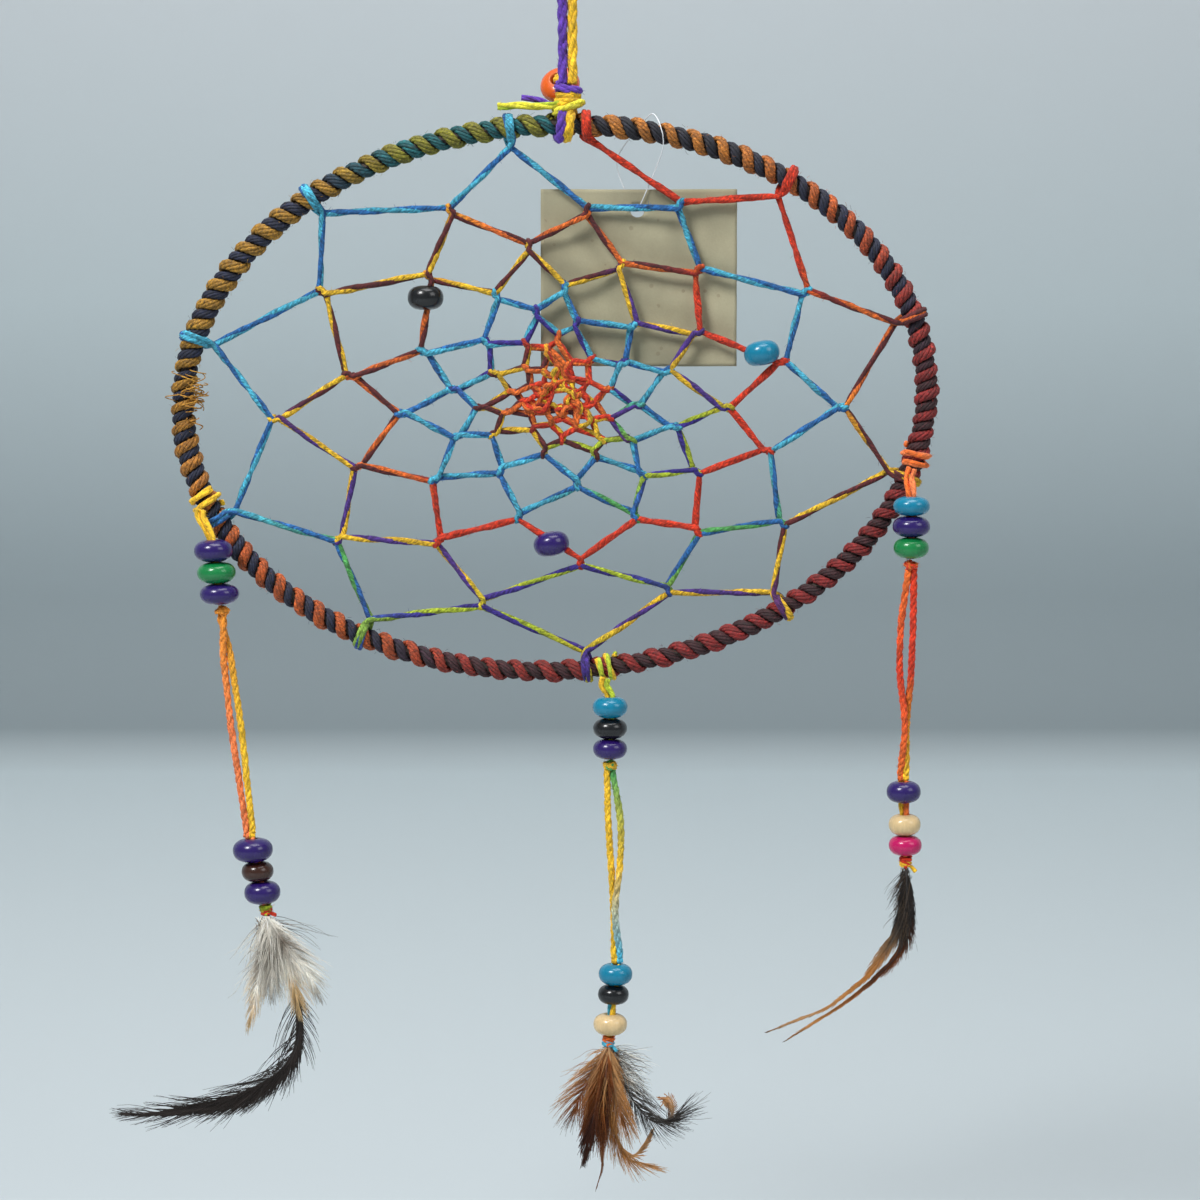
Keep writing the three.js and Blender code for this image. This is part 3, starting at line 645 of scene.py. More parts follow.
@dataclass
class Yarn:
    """Plied yarn: plies that turn slowly round a line, uneven in thickness, with stray fibres."""

    width: float
    turn_length: float = 22.0
    plies: int = 2
    fuzz: float = 0.7
    hair: float = 1.2
    seed: int = 1
    swell: Pair = (1.7, 0.17)
    tone: Pair = (2.4, 0.24)
    slant: float = 0.16
    rng: Chance = field(init=False)

    def __post_init__(self) -> None:
        """Seeds the yarn's own unevenness."""
        self.rng = np.random.default_rng(self.seed)

    def unevenness(self, reach: Array, grain: float, amount: float) -> Array:
        """A smooth random factor along a length.

        Args:
            reach: the length at each place.
            grain: the length of one bump.
            amount: its largest departure from 1.

        Returns:
            The factor at each place.
        """
        stops = np.arange(0, reach[-1] + 2 * grain, grain)
        bumps = self.rng.uniform(-1, 1, len(stops))
        return 1 + amount * np.interp(reach, stops, bumps)

    def lay(self, bundle: FibreBundle, points: Array, dyes: Sequence[Array], step: float = 0.6) -> None:
        """Runs the yarn smoothly through points, in steps of a length, with a colour for each ply."""
        self.spin(bundle, smooth_route(points, step)[0], dyes)

    def spin(self, bundle: FibreBundle, line: Array, dyes: Sequence[Array]) -> None:
        """Lays the yarn along a line.

        Args:
            bundle: what its plies are added to.
            line: the yarn's line, evenly set out, in millimetres.
            dyes: a colour for each ply, one or one at each point.
        """
        first, second = side_frames(line)
        reach = lengths_along(line)
        phase = self.rng.uniform(0, 2 * np.pi)
        rate = self.unevenness(reach, self.turn_length * 0.7, 0.45) / self.turn_length
        turned = np.concatenate([[0], np.cumsum(np.diff(reach) * rate[1:])])
        radius, offset = (self.width * share for share in PLY_SHARES[self.plies])
        for k in range(self.plies):
            angle = phase + 2 * np.pi * (turned + k / self.plies)
            away = round_ways(angle, first, second)
            swell = self.unevenness(reach, *self.swell)
            tone = self.unevenness(reach, *self.tone)[:, None]
            dye = np.broadcast_to(np.asarray(dyes[k % len(dyes)], float), (len(line), 3)) * tone
            bundle.add(line + away * offset, radius * swell, dye, self.slant)
            self.stray(bundle, line + away * offset, radius, dye)

    def stray(self, bundle: FibreBundle, line: Array, radius: float, dye: Array) -> None:
        """Adds stray fibres that stand off a ply.

        Args:
            bundle: what they are added to.
            line: the ply's line.
            radius: the ply's radius.
            dye: its colour at each point.
        """
        reach = lengths_along(line)[-1]
        way = np.gradient(line, axis=0)
        for _ in range(int(reach * self.fuzz)):
            i = int(self.rng.integers(1, len(line) - 1))
            along = unit(way[i])
            out = unit(np.cross(along, self.rng.normal(size=3)))
            length = self.rng.uniform(0.3, 1.0) * self.hair
            lean = along * self.rng.uniform(-1.0, 1.0)
            bend = np.clip(self.rng.normal(scale=0.3, size=3), -0.5, 0.5)
            t = np.linspace(0, 1, 3)[:, None]
            hair = line[i] + out * radius * 0.8 + (out * 0.75 + lean) * length * t + bend * length * t * t
            bundle.add(hair, np.linspace(0.06, 0.024, 3), np.clip(dye[i] * 1.15, 0, 1))


@dataclass(frozen=True)
class Hoop:
    """The hoop's oval line, in millimetres: the same sizes as the part's."""

    width: float = 211.4
    height: float = 154.8
    tilt: float = 3.0
    hang_length: float = 56.0
    hanger_angle: float = 85.8

    def _tilted(self, across: Array, up: Array) -> Array:
        """Turns places on the upright oval by the hoop's tilt.

        Args:
            across: how far to the right they are.
            up: how far up.

        Returns:
            The places in the frame.
        """
        turn = math.radians(self.tilt)
        x = across * math.cos(turn) - up * math.sin(turn)
        z = across * math.sin(turn) + up * math.cos(turn)
        return np.stack([x, np.zeros_like(x), z], axis=-1)

    def _oval(self, degrees: object) -> Array:
        """Places on the oval round its own centre."""
        angle = np.radians(np.asarray(degrees, float))
        return self._tilted(self.width / 2 * np.cos(angle), self.height / 2 * np.sin(angle))

    @property
    def centre(self) -> Array:
        """The oval's centre."""
        return np.array([0, 0, -self.hang_length]) - self._oval(self.hanger_angle)

    def middle(self, degrees: object) -> Array:
        """The middle of the tube at an angle round the hoop."""
        return self._oval(degrees) + self.centre

    def along(self, degrees: object) -> Array:
        """The tube's direction at an angle."""
        angle = np.radians(np.asarray(degrees, float))
        return unit(self._tilted(-self.width / 2 * np.sin(angle), self.height / 2 * np.cos(angle)))

    def out(self, degrees: object) -> Array:
        """The outward side of the tube at an angle."""
        angle = np.radians(np.asarray(degrees, float))
        return unit(self._tilted(self.height / 2 * np.cos(angle), self.width / 2 * np.sin(angle)))

    def share(self, right: float, up: float) -> Array:
        """A place on the web as shares of the half width and half height."""
        return self.centre + np.array([right * self.width / 2, 0, up * self.height / 2])

    def thickness(self, degrees: object) -> Array:
        """The wound tube's radius: fuller at the left, where the cord piles up."""
        angle = np.asarray(degrees, float) % 360
        return np.interp(angle, (0, 90, 180, 270, 360), (3.4, 3.25, 3.65, 3.0, 3.4))


HOOP = Hoop()


@dataclass(frozen=True)
class Shade:
    """A cord's two dyes from a place on: an angle round the hoop, or a knot's number."""

    at: float
    bright: Dye
    dark: Dye


def dyed(*rows: str) -> tuple[Shade, ...]:
    """Reads shades that are written as a place, a bright dye and a dark dye."""
    words = (row.split() for row in rows)
    return tuple(Shade(float(at), Dye[bright], Dye[dark]) for at, bright, dark in words)


@dataclass
class Winding:
    """The hoop's winding: a dark and a bright cord side by side, each of a few twisted strands.

    fullness and stand: the dark cord's and the bright cord's thickness, and how far they stand out.
    """

    turns: int = 84
    strands: int = 5
    strand_radius: float = 0.51
    spread: Pair = (0.165, 0.66)
    twist_length: float = 9.5
    steps: int = 20
    seed: int = 11
    shades: tuple[Shade, ...] = dyed(
        "0 COIL_RED COIL_MAROON", "22 COIL_BRICK COIL_NAVY", "40 COIL_ORANGE COIL_NAVY",
        "62 COIL_OCHRE COIL_BLACK", "84 COIL_OCHRE COIL_BLACK", "88 COIL_OLIVE COIL_TEAL",
        "112 COIL_OLIVE COIL_TEAL", "126 COIL_GOLD COIL_NAVY", "170 COIL_GOLD COIL_NAVY",
        "196 COIL_OCHRE COIL_NAVY", "208 COIL_ORANGE COIL_NAVY", "236 COIL_ORANGE COIL_NAVY",
        "252 COIL_BRICK COIL_MAROON", "286 COIL_RED COIL_MAROON", "360 COIL_RED COIL_MAROON",
    )
    wander: float = 0.35
    bulk: Pair = (0.84, 1.14)
    slack: Pair = (-0.12, 0.2)
    fullness: Pair = (0.92, 1.04)
    stand: Pair = (-0.2, 0.14)
    turn_radius: float = 3.4
    loose_fibres: int = 420
    tuft_fibres: int = 34
    tuft_angle: float = 175.5
    tuft_spread: float = 2.4

    def dye(self, degrees: Array, bright: bool) -> Array:
        """The colour of a cord at angles round the hoop.

        Args:
            degrees: the angles.
            bright: whether it is the bright cord.

        Returns:
            A colour at each angle.
        """
        stops = [shade.at for shade in self.shades]
        dyes = np.array([(s.bright if bright else s.dark).light for s in self.shades])
        return blend_along(degrees % 360, stops, dyes)

    def wind(self, bright: bool, material: Material) -> Piece:
        """Winds one of the two cords.

        Args:
            bright: whether it is the bright cord.
            material: its finish.

        Returns:
            The wound cord.
        """
        rng = np.random.default_rng(self.seed + bright)
        bundle = FibreBundle()
        count = self.turns * self.steps + 1
        angles = np.linspace(HOOP.hanger_angle, HOOP.hanger_angle + 360, count)
        length = lengths_along(HOOP.middle(angles))
        pitch = np.gradient(length) * self.steps
        turn = 2 * np.pi * np.arange(count) / self.steps
        marks = turn[:: self.steps]
        wander = np.interp(turn, marks, rng.uniform(-self.wander, self.wander, len(marks)))
        bulk = np.interp(turn, marks, rng.uniform(*self.bulk, len(marks))) * self.fullness[bright]
        loose = np.interp(turn, marks, rng.uniform(*self.slack, len(marks))) + self.stand[bright]
        wound = np.cumsum(np.full(count, 2 * np.pi * self.turn_radius / self.steps)) / self.twist_length
        for k in range(self.strands):
            lay = -2 * np.pi * (wound + k / self.strands)
            shift = pitch * ((0.5 if bright else 0) + self.spread[0] * bulk * np.cos(lay)) + wander
            place = np.interp(length + shift, length, angles)
            rise = loose + self.spread[1] * bulk * np.sin(lay)
            radial = HOOP.thickness(place) - self.spread[1] - self.strand_radius + rise
            line = HOOP.middle(place) + round_ways(turn, HOOP.out(place), BACK) * radial[:, None]
            quarters = turn[:: self.steps // 4]
            tones = rng.uniform(0.7, 1.25, len(quarters))
            tone = rng.uniform(0.75, 1.2) * np.interp(turn, quarters, tones)
            dye = self.dye(place, bright) * tone[:, None]
            bundle.add(line, self.strand_radius * bulk, dye, slant=0.3)
        self.fray(bundle, angles, bright, rng)
        name = "hoop_winding_bright" if bright else "hoop_winding_dark"
        return bundle.weave(name, material)

    def fray(self, bundle: FibreBundle, angles: Array, bright: bool, rng: Chance) -> None:
        """Adds the winding's loose fibres, with a frayed tuft on the left.

        Args:
            bundle: what they are added to.
            angles: angles round the hoop.
            bright: whether they are the bright cord's.
            rng: the winding's own chance.
        """
        tuft = rng.normal(self.tuft_angle, self.tuft_spread, self.tuft_fibres if bright else 0)
        spots = np.concatenate([rng.choice(angles, self.loose_fibres), tuft])
        for k, spot in enumerate(spots):
            frayed = k >= self.loose_fibres
            angle = rng.uniform(0, 2 * np.pi) if not frayed else rng.normal(-2.4, 0.5)
            spoke = HOOP.out(spot) * math.cos(angle) + BACK * math.sin(angle)
            start = HOOP.middle(spot) + spoke * (HOOP.thickness(spot) - 0.1)
            round_way = np.cross(HOOP.along(spot), spoke)
            size = rng.uniform(2.5, 5.5) if frayed else rng.uniform(0.5, 1.9)
            curl = rng.uniform(2.0, 5.5) if frayed else rng.uniform(0.3, 1.4)
            t = np.linspace(0, 1, 12 if frayed else 4)
            rise = np.sin(t * curl) * size * 0.55
            lean = t * size * rng.uniform(-0.8, 0.8)
            run = (1 - np.cos(t * curl)) * size * 0.5 * rng.choice((-1, 1))
            hair = start + spoke * rise[:, None] + round_way * run[:, None]
            hair = hair + HOOP.along(spot) * lean[:, None]
            dye = self.dye(np.array([spot]), bright)[0] * rng.uniform(0.9, 1.5)
            ends = (0.19, 0.13) if frayed else (0.05, 0.03)
            bundle.add(hair, np.linspace(*ends, len(t)), np.clip(dye, 0, 1))


@dataclass
class Web:
    """The web: one thread hitched round the hoop and knotted on inwards in a spiral."""

    thread: float = 2.1
    hitch_angles: tuple[float, ...] = (
        83, 49.1, 13.7, 339.3, 306, 272.8, 236.3, 202.3, 163.1, 128.6, 94.8,
    )
    knots: tuple[Pair, ...] = (
        (0.34, 0.72), (0.68, 0.40), (0.78, -0.03), (0.62, -0.46), (0.31, -0.71), (-0.20, -0.76),
        (-0.59, -0.52), (-0.76, -0.07), (-0.63, 0.40), (-0.28, 0.70), (0.09, 0.70),
        (0.39, 0.48), (0.62, 0.14), (0.58, -0.19), (0.39, -0.49), (0.07, -0.61), (-0.32, -0.53),
        (-0.54, -0.25), (-0.56, 0.09), (-0.34, 0.46), (-0.07, 0.57), (0.18, 0.50),
        (0.39, 0.25), (0.47, -0.03), (0.39, -0.27), (0.22, -0.44), (-0.10, -0.44), (-0.33, -0.30),
        (-0.42, -0.05), (-0.36, 0.18), (-0.16, 0.39), (0.03, 0.42), (0.22, 0.28),
        (0.31, 0.11), (0.33, -0.10), (0.24, -0.28), (0.06, -0.32), (-0.15, -0.27), (-0.27, -0.14),
        (-0.28, 0.04), (-0.19, 0.22), (-0.05, 0.33), (0.06, 0.29), (0.19, 0.14),
        (0.23, -0.02), (0.21, -0.15), (0.11, -0.21), (-0.03, -0.20), (-0.17, -0.13), (-0.21, -0.03),
        (-0.17, 0.10), (-0.08, 0.21), (0.01, 0.24), (0.10, 0.15), (0.15, 0.04),
        (0.15, -0.07), (0.13, -0.15), (0.02, -0.15), (-0.06, -0.11), (-0.14, -0.05), (-0.12, 0.03),
        (-0.08, 0.12), (-0.02, 0.19),
    )
    heart: Pair = (0.014, 0.007)
    pull: float = 0.3
    last_knot: int = 114
    runs: tuple[Shade, ...] = dyed(
        "0 RED RED", "1.5 ORANGE MAROON", "2.6 YELLOW MAROON", "4 YELLOW PURPLE",
        "5 YELLOW_GREEN INDIGO", "6 GREEN BLUE", "6.7 TURQUOISE BLUE", "13.8 GREEN BLUE",
        "15 YELLOW_GREEN INDIGO", "16 YELLOW PURPLE", "18 YELLOW MAROON", "20 ORANGE MAROON",
        "22 RED RED", "27.5 ORANGE MAROON", "30 YELLOW MAROON", "32 YELLOW PURPLE",
        "34 YELLOW_GREEN INDIGO", "35.7 GREEN BLUE", "36.5 TURQUOISE BLUE", "50 TURQUOISE INDIGO",
        "55 GREEN PURPLE", "56 YELLOW_GREEN MAROON", "58 YELLOW MAROON", "62 ORANGE RED",
        "66 YELLOW RED", "69 ORANGE MAROON", "73 YELLOW RED", "77 ORANGE RED", "83 YELLOW ORANGE",
        "87 ORANGE MAROON", "91 YELLOW RED",
    )
    hitch_neck: float = 2.0
    hitch_spread: float = 0.85
    neck_depth: float = 0.55
    knot_radius: float = 0.62
    knot_neck: float = 1.7
    knot_spread: float = 0.45
    tangle_from: int = 72
    tangle_arcs: int = 34
    tangle_thread: float = 1.8
    seed: int = 31

    def places(self) -> Array:
        """The places of all knots: hitches on the tube's line first, then inwards.

        Returns:
            A place a row.
        """
        spots = [HOOP.middle(angle) for angle in self.hitch_angles]
        spots += [HOOP.share(right, up) for right, up in self.knots]
        heart = HOOP.share(*self.heart)
        ring = len(self.hitch_angles)
        while len(spots) <= self.last_knot:
            middle = (spots[-ring] + spots[-ring + 1]) / 2
            spots.append(middle + (heart - middle) * self.pull)
        return np.array(spots)

    def dyes(self, number: Array) -> tuple[Array, Array]:
        """The colours of the two plies along the thread.

        Args:
            number: the knot's number at each point, with parts of a span between.

        Returns:
            The bright and the dark ply's colours.
        """
        bright = np.tile(self.runs[0].bright.light, (len(number), 1))
        dark = np.tile(self.runs[0].dark.light, (len(number), 1))
        for run in self.runs[1:]:
            share = np.clip((number - run.at + 0.25) / 0.5, 0, 1)[:, None]
            bright = bright * (1 - share) + run.bright.light * share
            dark = dark * (1 - share) + run.dark.light * share
        return bright, dark

    def route(self) -> tuple[Array, Array]:
        """The thread's line and the knot's number along it.

        Returns:
            Points from the first hitch to the heart, and a number at each.
        """
        rng = np.random.default_rng(self.seed)
        spots = self.places()
        ring = len(self.hitch_angles)
        points, numbers = [], []
        for n in range(self.last_knot - ring):
            inner = spots[n + ring] - spots[n]
            other = spots[n + ring - 1] - spots[n] if n else inner
            stem = unit(unit(inner) + unit(other))
            span = np.linalg.norm(inner)
            if n < ring:
                loop = self._hitch(n, stem)
            else:
                loop = self._knot(spots[n], stem, span, rng)
            apex = spots[n + ring] + BACK * rng.uniform(-0.35, 0.35)
            if points:
                self._stretch(points, numbers, loop[0], n - 0.48, n - 0.02)
            points += loop
            numbers += [n + 0.02 * (k / len(loop) - 0.5) for k in range(len(loop))]
            self._stretch(points, numbers, apex, n + 0.02, n + 0.48)
            points.append(apex)
            numbers.append(n + 0.5)
        return np.array(points), np.array(numbers)

    @staticmethod
    def _stretch(points: list, numbers: list, end: Array, first: float, last: float) -> None:
        """Adds points that keep a span straight from the last point to an end.

        Args:
            points: the thread's points so far.
            numbers: the knot's number at each.
            end: where the span ends.
            first: the number at its start.
            last: the number at its end.
        """
        start = points[-1]
        for share in (0.06, 0.2, 0.5, 0.8, 0.94):
            points.append(start + (end - start) * share)
            numbers.append(first + (last - first) * share)

    def _hitch(self, n: int, stem: Array) -> list[Array]:
        """The thread's way round the hoop's tube at one of its hitches.

        Args:
            n: the hitch's number.
            stem: the way from the tube to the web.

        Returns:
            Points of the way, from the web and back to it.
        """
        angle = self.hitch_angles[n]
        middle, out, along = HOOP.middle(angle), HOOP.out(angle), HOOP.along(angle)
        radius = float(HOOP.thickness(angle)) + 0.1
        neck = middle + unit(stem - out) * (radius + self.hitch_neck)
        turns = np.linspace(-math.pi + 0.45, 3 * math.pi - 0.45, 22)
        shift = np.linspace(-self.hitch_spread, self.hitch_spread, len(turns))
        loop = middle + radius * round_ways(turns, out, BACK) + along * shift[:, None]
        depth = BACK * self.neck_depth
        return [neck - depth, *loop, neck + depth]

    def _knot(self, spot: Array, stem: Array, span: float, rng: Chance) -> list[Array]:
        """The thread's loop round an earlier span.

        Args:
            spot: where the earlier span bends.
            stem: the way inwards.
            span: the length of the next half span.
            rng: the web's own chance.

        Returns:
            Points of the loop, from the web and back to it.
        """
        radius = min(self.knot_radius, 0.1 * span)
        neck = spot + stem * min(self.knot_neck, 0.22 * span)
        side = np.cross(stem, BACK)
        front = rng.choice((-1.0, 1.0))
        turns = np.linspace(-math.pi + 0.5, math.pi - 0.5, 9)
        shift = np.linspace(-self.knot_spread, self.knot_spread, len(turns)) * min(1, span / 12)
        loop = spot + radius * round_ways(turns, -stem, front * BACK) + side * shift[:, None]
        depth = front * BACK * min(self.neck_depth, 0.1 * span)
        return [neck - depth + side * 0.3, *loop, neck + depth - side * 0.3]

    def weave(self, material: Material) -> Piece:
        """Makes the web with its tangled heart.

        Args:
            material: the yarn's finish.

        Returns:
            The web.
        """
        bundle = FibreBundle()
        points, numbers = self.route()
        line, along = smooth_route(points, 0.85, numbers)
        yarn = Yarn(self.thread, turn_length=25, fuzz=0.3, seed=self.seed)
        yarn.spin(bundle, line, self.dyes(along))
        self._tangle(bundle)
        return bundle.weave("web_yarn", material)

    def _tangle(self, bundle: FibreBundle) -> None:
        """Adds the loose loops and knots at the web's heart.

        Args:
            bundle: what they are added to.
        """
        rng = np.random.default_rng(self.seed + 1)
        spots = self.places()[self.tangle_from :]
        yarn = Yarn(self.tangle_thread, turn_length=16, fuzz=0.4, seed=self.seed + 2)
        bow = ((0.0, 0.0, 0.0), (0.25, 0.7, 0.8), (0.5, 1.0, 1.0), (0.75, 0.7, 0.8), (1.0, 0.0, 0.0))
        dyes = (Dye.RED.light, Dye.ORANGE.light, Dye.YELLOW.light)
        for _ in range(self.tangle_arcs):
            start = spots[rng.integers(len(spots))]
            nearest = np.argsort(np.linalg.norm(spots - start, axis=1))
            end = spots[nearest[rng.integers(2, 13)]]
            side = np.cross(end - start, BACK) * rng.uniform(-0.5, 0.5)
            lift = -BACK * rng.uniform(0.5, 1.6)
            points = [start + (end - start) * a + side * b + lift * c for a, b, c in bow]
            bright = dyes[rng.choice(3, p=(0.1, 0.5, 0.4))]
            dark = dyes[rng.choice(3, p=(0.35, 0.55, 0.1))]
            yarn.lay(bundle, np.array(points), (bright, dark))


@dataclass(frozen=True)
class Bead:
    """A turned bead: a flattened round with a bore whose lip is eased."""

    width: float
    height: float
    bore: float
    lacquer: Lacquer
    fullness: float = 0.68
    profile_steps: int = 18
    round_steps: int = 40

    def turn(self, name: str, middle: Array, axis: Array, finishes: dict) -> Piece:
        """Spins the bead about its bore.

        Args:
            name: the piece's name.
            middle: the bead's middle, in millimetres.
            axis: the way its bore points.
            finishes: the beads' finishes by lacquer.

        Returns:
            The bead.
        """
        half, tall, hole = self.width / 2, self.height / 2, self.bore / 2
        lip = hole + 0.45
        limit = math.acos((lip / half) ** (1 / self.fullness))
        outline = [
            (half * math.cos(a) ** self.fullness, tall * math.copysign(abs(math.sin(a)) ** 0.92, a))
            for a in np.linspace(-limit, limit, self.profile_steps)
        ]
        edge = tall * math.sin(limit) ** 0.92
        rim = [(hole + 0.12, edge * 0.985), (hole, edge * 0.9)]
        section = outline + rim + [(r, -z) for r, z in reversed(rim)]
        work = bmesh.new()
        corners = [work.verts.new((r, 0, z)) for r, z in section]
        sides = [work.edges.new((a, b)) for a, b in zip(corners, corners[1:] + corners[:1])]
        bmesh.ops.spin(
            work, geom=corners + sides, cent=(0, 0, 0), axis=(0, 0, 1), angle=2 * math.pi,
            steps=self.round_steps, use_merge=True, use_duplicate=False,
        )
        bmesh.ops.remove_doubles(work, verts=work.verts, dist=1e-4)
        wear = work.verts.layers.float.new("wear")
        for vert in work.verts:
            reach = math.hypot(vert.co.x, vert.co.y)
            vert[wear] = min(1.0, max(0.0, (hole + 0.8 - reach) / 0.6))
        turned = Vector((0, 0, 1)).rotation_difference(Vector(axis)).to_matrix().to_4x4()
        bmesh.ops.transform(work, matrix=turned, verts=work.verts)
        bmesh.ops.translate(work, vec=Vector(middle), verts=work.verts)
        bmesh.ops.scale(work, vec=(MM, MM, MM), verts=work.verts)
        return finish_mesh(work, name, finishes[self.lacquer])


def helix_round(degrees: float, radius: float, turns: float, pitch: float, start: float) -> Array:
    """A helix round the hoop's tube.

    Args:
        degrees: the angle round the hoop.
        radius: the helix's radius.
        turns: how many turns it makes.
        pitch: how far it moves along the tube in a turn.
        start: the turn that it starts at, in radians, from the outward side to the back.

    Returns:
        Its points.
    """
    share = np.linspace(0, 1, int(16 * turns) + 1)
    angle = start + 2 * np.pi * turns * share
    spoke = round_ways(angle, HOOP.out(degrees), BACK)
    shift = (share - 0.5) * turns * pitch
    return HOOP.middle(degrees) + spoke * radius + HOOP.along(degrees) * shift[:, None]


def wound_ball(
    middle: Array, radius: float, loops: int, rng: Chance
) -> list[Array]:
    """Loops of yarn that make a knot.

    Args:
        middle: the knot's middle.
        radius: the radius of its loops.
        loops: how many there are.
        rng: the knot's own chance.

    Returns:
        The loops' lines.
    """
    lines = []
    for k in range(loops):
        tilt = rng.normal(scale=0.5, size=2)
        lean = tilt[0] + 0.9 * k
        axis = unit(np.array([math.sin(lean), 0.5 * tilt[1], math.cos(lean)]))
        first = unit(np.cross(axis, BACK + 0.1))
        angle = np.linspace(0, 2 * np.pi * 0.97, 18) + rng.uniform(0, 6)
        size = radius * rng.uniform(0.8, 1.0)
        ring = round_ways(angle, first, np.cross(axis, first))
        lines.append(middle + ring * size + axis * rng.uniform(-0.35, 0.35) * radius)
    return lines


class Tint(Enum):
    """The colours of the feathers, from quill to barb tips."""

    WHITE = (251, 246, 234)
    GREY = (128, 117, 103)
    TAUPE = (94, 78, 62)
    TAN = (210, 178, 130)
    BLACK = (45, 38, 35)
    SOOT = (52, 47, 44)
    RUST = (142, 78, 30)
    UMBER = (64, 28, 10)
    FAWN = (190, 144, 96)
    GOLD = (194, 126, 54)
    SMOKE = (96, 92, 88)

    @property
    def light(self) -> Array:
        """The tint in linear light."""
        return linear(self.value)


@dataclass(frozen=True)
class Plume:
    """One feather: a quill along a route, with barbs on both sides.

    route: across, down and front from the tie's foot; reach: the barbs' length to the left and the
    right of the quill at even shares of it; angle: degrees between barb and quill, at the foot and
    the tip; tints: the barbs' colour at even shares of the quill; tips: what they turn to at their ends.
    """

    route: Route
    left: tuple[float, ...]
    right: tuple[float, ...]
    tints: str
    tips: str
    angle: Pair = (48.0, 20.0)
    spacing: float = 0.2
    barb: float = 0.1
    ruffle: float = 0.18
    clump: int = 7
    depth: float = 0.8
    quill: float = 0.4
    start: float = 0.03
    uneven: float = 0.16
    shortest: float = 0.25
    tuft_from: float = 0.86

    def grow(self, bundle: FibreBundle, foot: Array, rng: Chance) -> None:
        """Adds the quill and its barbs.

        Args:
            bundle: what they are added to.
            foot: the tie's foot, in millimetres.
            rng: the feather's own chance.
        """
        spots = foot + np.array([(across, -front, -down) for across, down, front in self.route])
        line, _ = smooth_route(spots, 0.5)
        way = unit(np.gradient(line, axis=0))
        share = np.linspace(0, 1, len(line))
        rachis = self._tint(share, self.tints) * 0.8 + 0.03
        bundle.add(line, self.quill * (1 - 0.85 * share) + 0.04, rachis)
        total = lengths_along(line)[-1]
        for sign, reaches in ((-1, self.left), (1, self.right)):
            stations = np.arange(self.start * total, total, self.spacing) / total
            group = np.zeros(3)
            for k, place in enumerate(stations):
                if k % self.clump == 0:
                    group = rng.normal(scale=self.ruffle, size=3)
                place = min(0.995, place + rng.uniform(-0.4, 0.4) * self.spacing / total)
                self._barb(bundle, line, way, place, sign, reaches, group, rng)

    @staticmethod
    def _tint(share: object, tints: str) -> Array:
        """Colours at shares of the quill."""
        dyes = np.array([Tint[name].light for name in tints.split()])
        return blend_along(np.atleast_1d(share), np.linspace(0, 1, len(dyes)), dyes)

    def _barb(
        self, bundle: FibreBundle, line: Array, way: Array, place: float, sign: int,
        reaches: tuple[float, ...], group: Array, rng: Chance,
    ) -> None:
        """Adds one barb.

        Args:
            bundle: what it is added to.
            line: the quill's line.
            way: the quill's direction at each point.
            place: the share of the quill where it grows.
            sign: -1 on the quill's left, 1 on its right.
            reaches: the barbs' lengths on that side.
            group: the lean of the clump that it is in.
            rng: the feather's own chance.
        """
        i = min(len(line) - 1, int(place * (len(line) - 1)))
        along = way[i]
        side = unit(np.cross(along, BACK) * sign)
        reach = np.interp(place, np.linspace(0, 1, len(reaches)), reaches)
        reach *= 1 + self.uneven * rng.normal()
        if reach < self.shortest:
            return
        lean = math.radians(np.interp(place, (0, 1), self.angle)) * (1 + 0.5 * group[0])
        if place > self.tuft_from:
            lean *= rng.uniform(0, 1)
        out = side * math.sin(lean) + along * math.cos(lean)
        t = np.linspace(0, 1, 6)[:, None]
        bend = along * 0.28 - side * 0.1
        lift = BACK * (group[1] * 0.6 + 0.12 * rng.normal()) * self.depth
        wave = side * 0.05 * np.sin(t * rng.uniform(2, 6) + rng.uniform(0, 6))
        hair = line[i] + reach * (out * t + bend * t * t + wave * t + lift * t)
        base = self._tint(place, self.tints)[0]
        end = self._tint(place, self.tips)[0]
        tone = 1 + self.uneven * rng.normal()
        dye = (base * (1 - t**1.5) + end * t**1.5) * max(0.4, tone)
        bundle.add(hair, self.barb * (1 - 0.72 * t[:, 0]), np.clip(dye, 0, 1))


@dataclass(frozen=True)
class Fluff:
    """Down at a feather's foot: fine, wavy barbs that spread every way within a fan.

    spread: the fan's half angle in degrees; heading: its middle, in degrees from straight down to +X.
    """

    count: int
    length: Pair
    heading: float
    spread: float
    tints: str
    rise: float = 6.0
    front: float = 0.0
    root: float = 0.7
    curl: float = 0.06
    sag: float = 0.18

    def grow(self, bundle: FibreBundle, foot: Array, rng: Chance) -> None:
        """Adds the down.

        Args:
            bundle: what it is added to.
            foot: the tie's foot, in millimetres.
            rng: the feather's own chance.
        """
        names = self.tints.split()
        for _ in range(self.count):
            turn = math.radians(self.heading + self.spread * np.clip(rng.normal(scale=0.5), -1, 1))
            way = np.array([math.sin(turn), rng.normal(scale=0.16), -math.cos(turn)])
            length = rng.uniform(*self.length)
            aside = rng.normal(scale=self.root)
            start = foot + np.array([aside, -self.front, -rng.uniform(0, self.rise)])
            t = np.linspace(0, 1, 7)
            side = np.cross(way, BACK)
            wave = np.sin(t * rng.uniform(2, 7) + rng.uniform(0, 6)) * self.curl * length
            hair = start + np.outer(t, way) * length + np.outer(wave * t, side)
            hair[:, 2] -= self.sag * length * t * t
            tint = Tint[names[rng.integers(len(names))]].light * rng.uniform(0.8, 1.15)
            bundle.add(hair, np.linspace(0.08, 0.022, len(t)), np.clip(tint, 0, 1))


Growths = tuple[Plume | Fluff, ...]


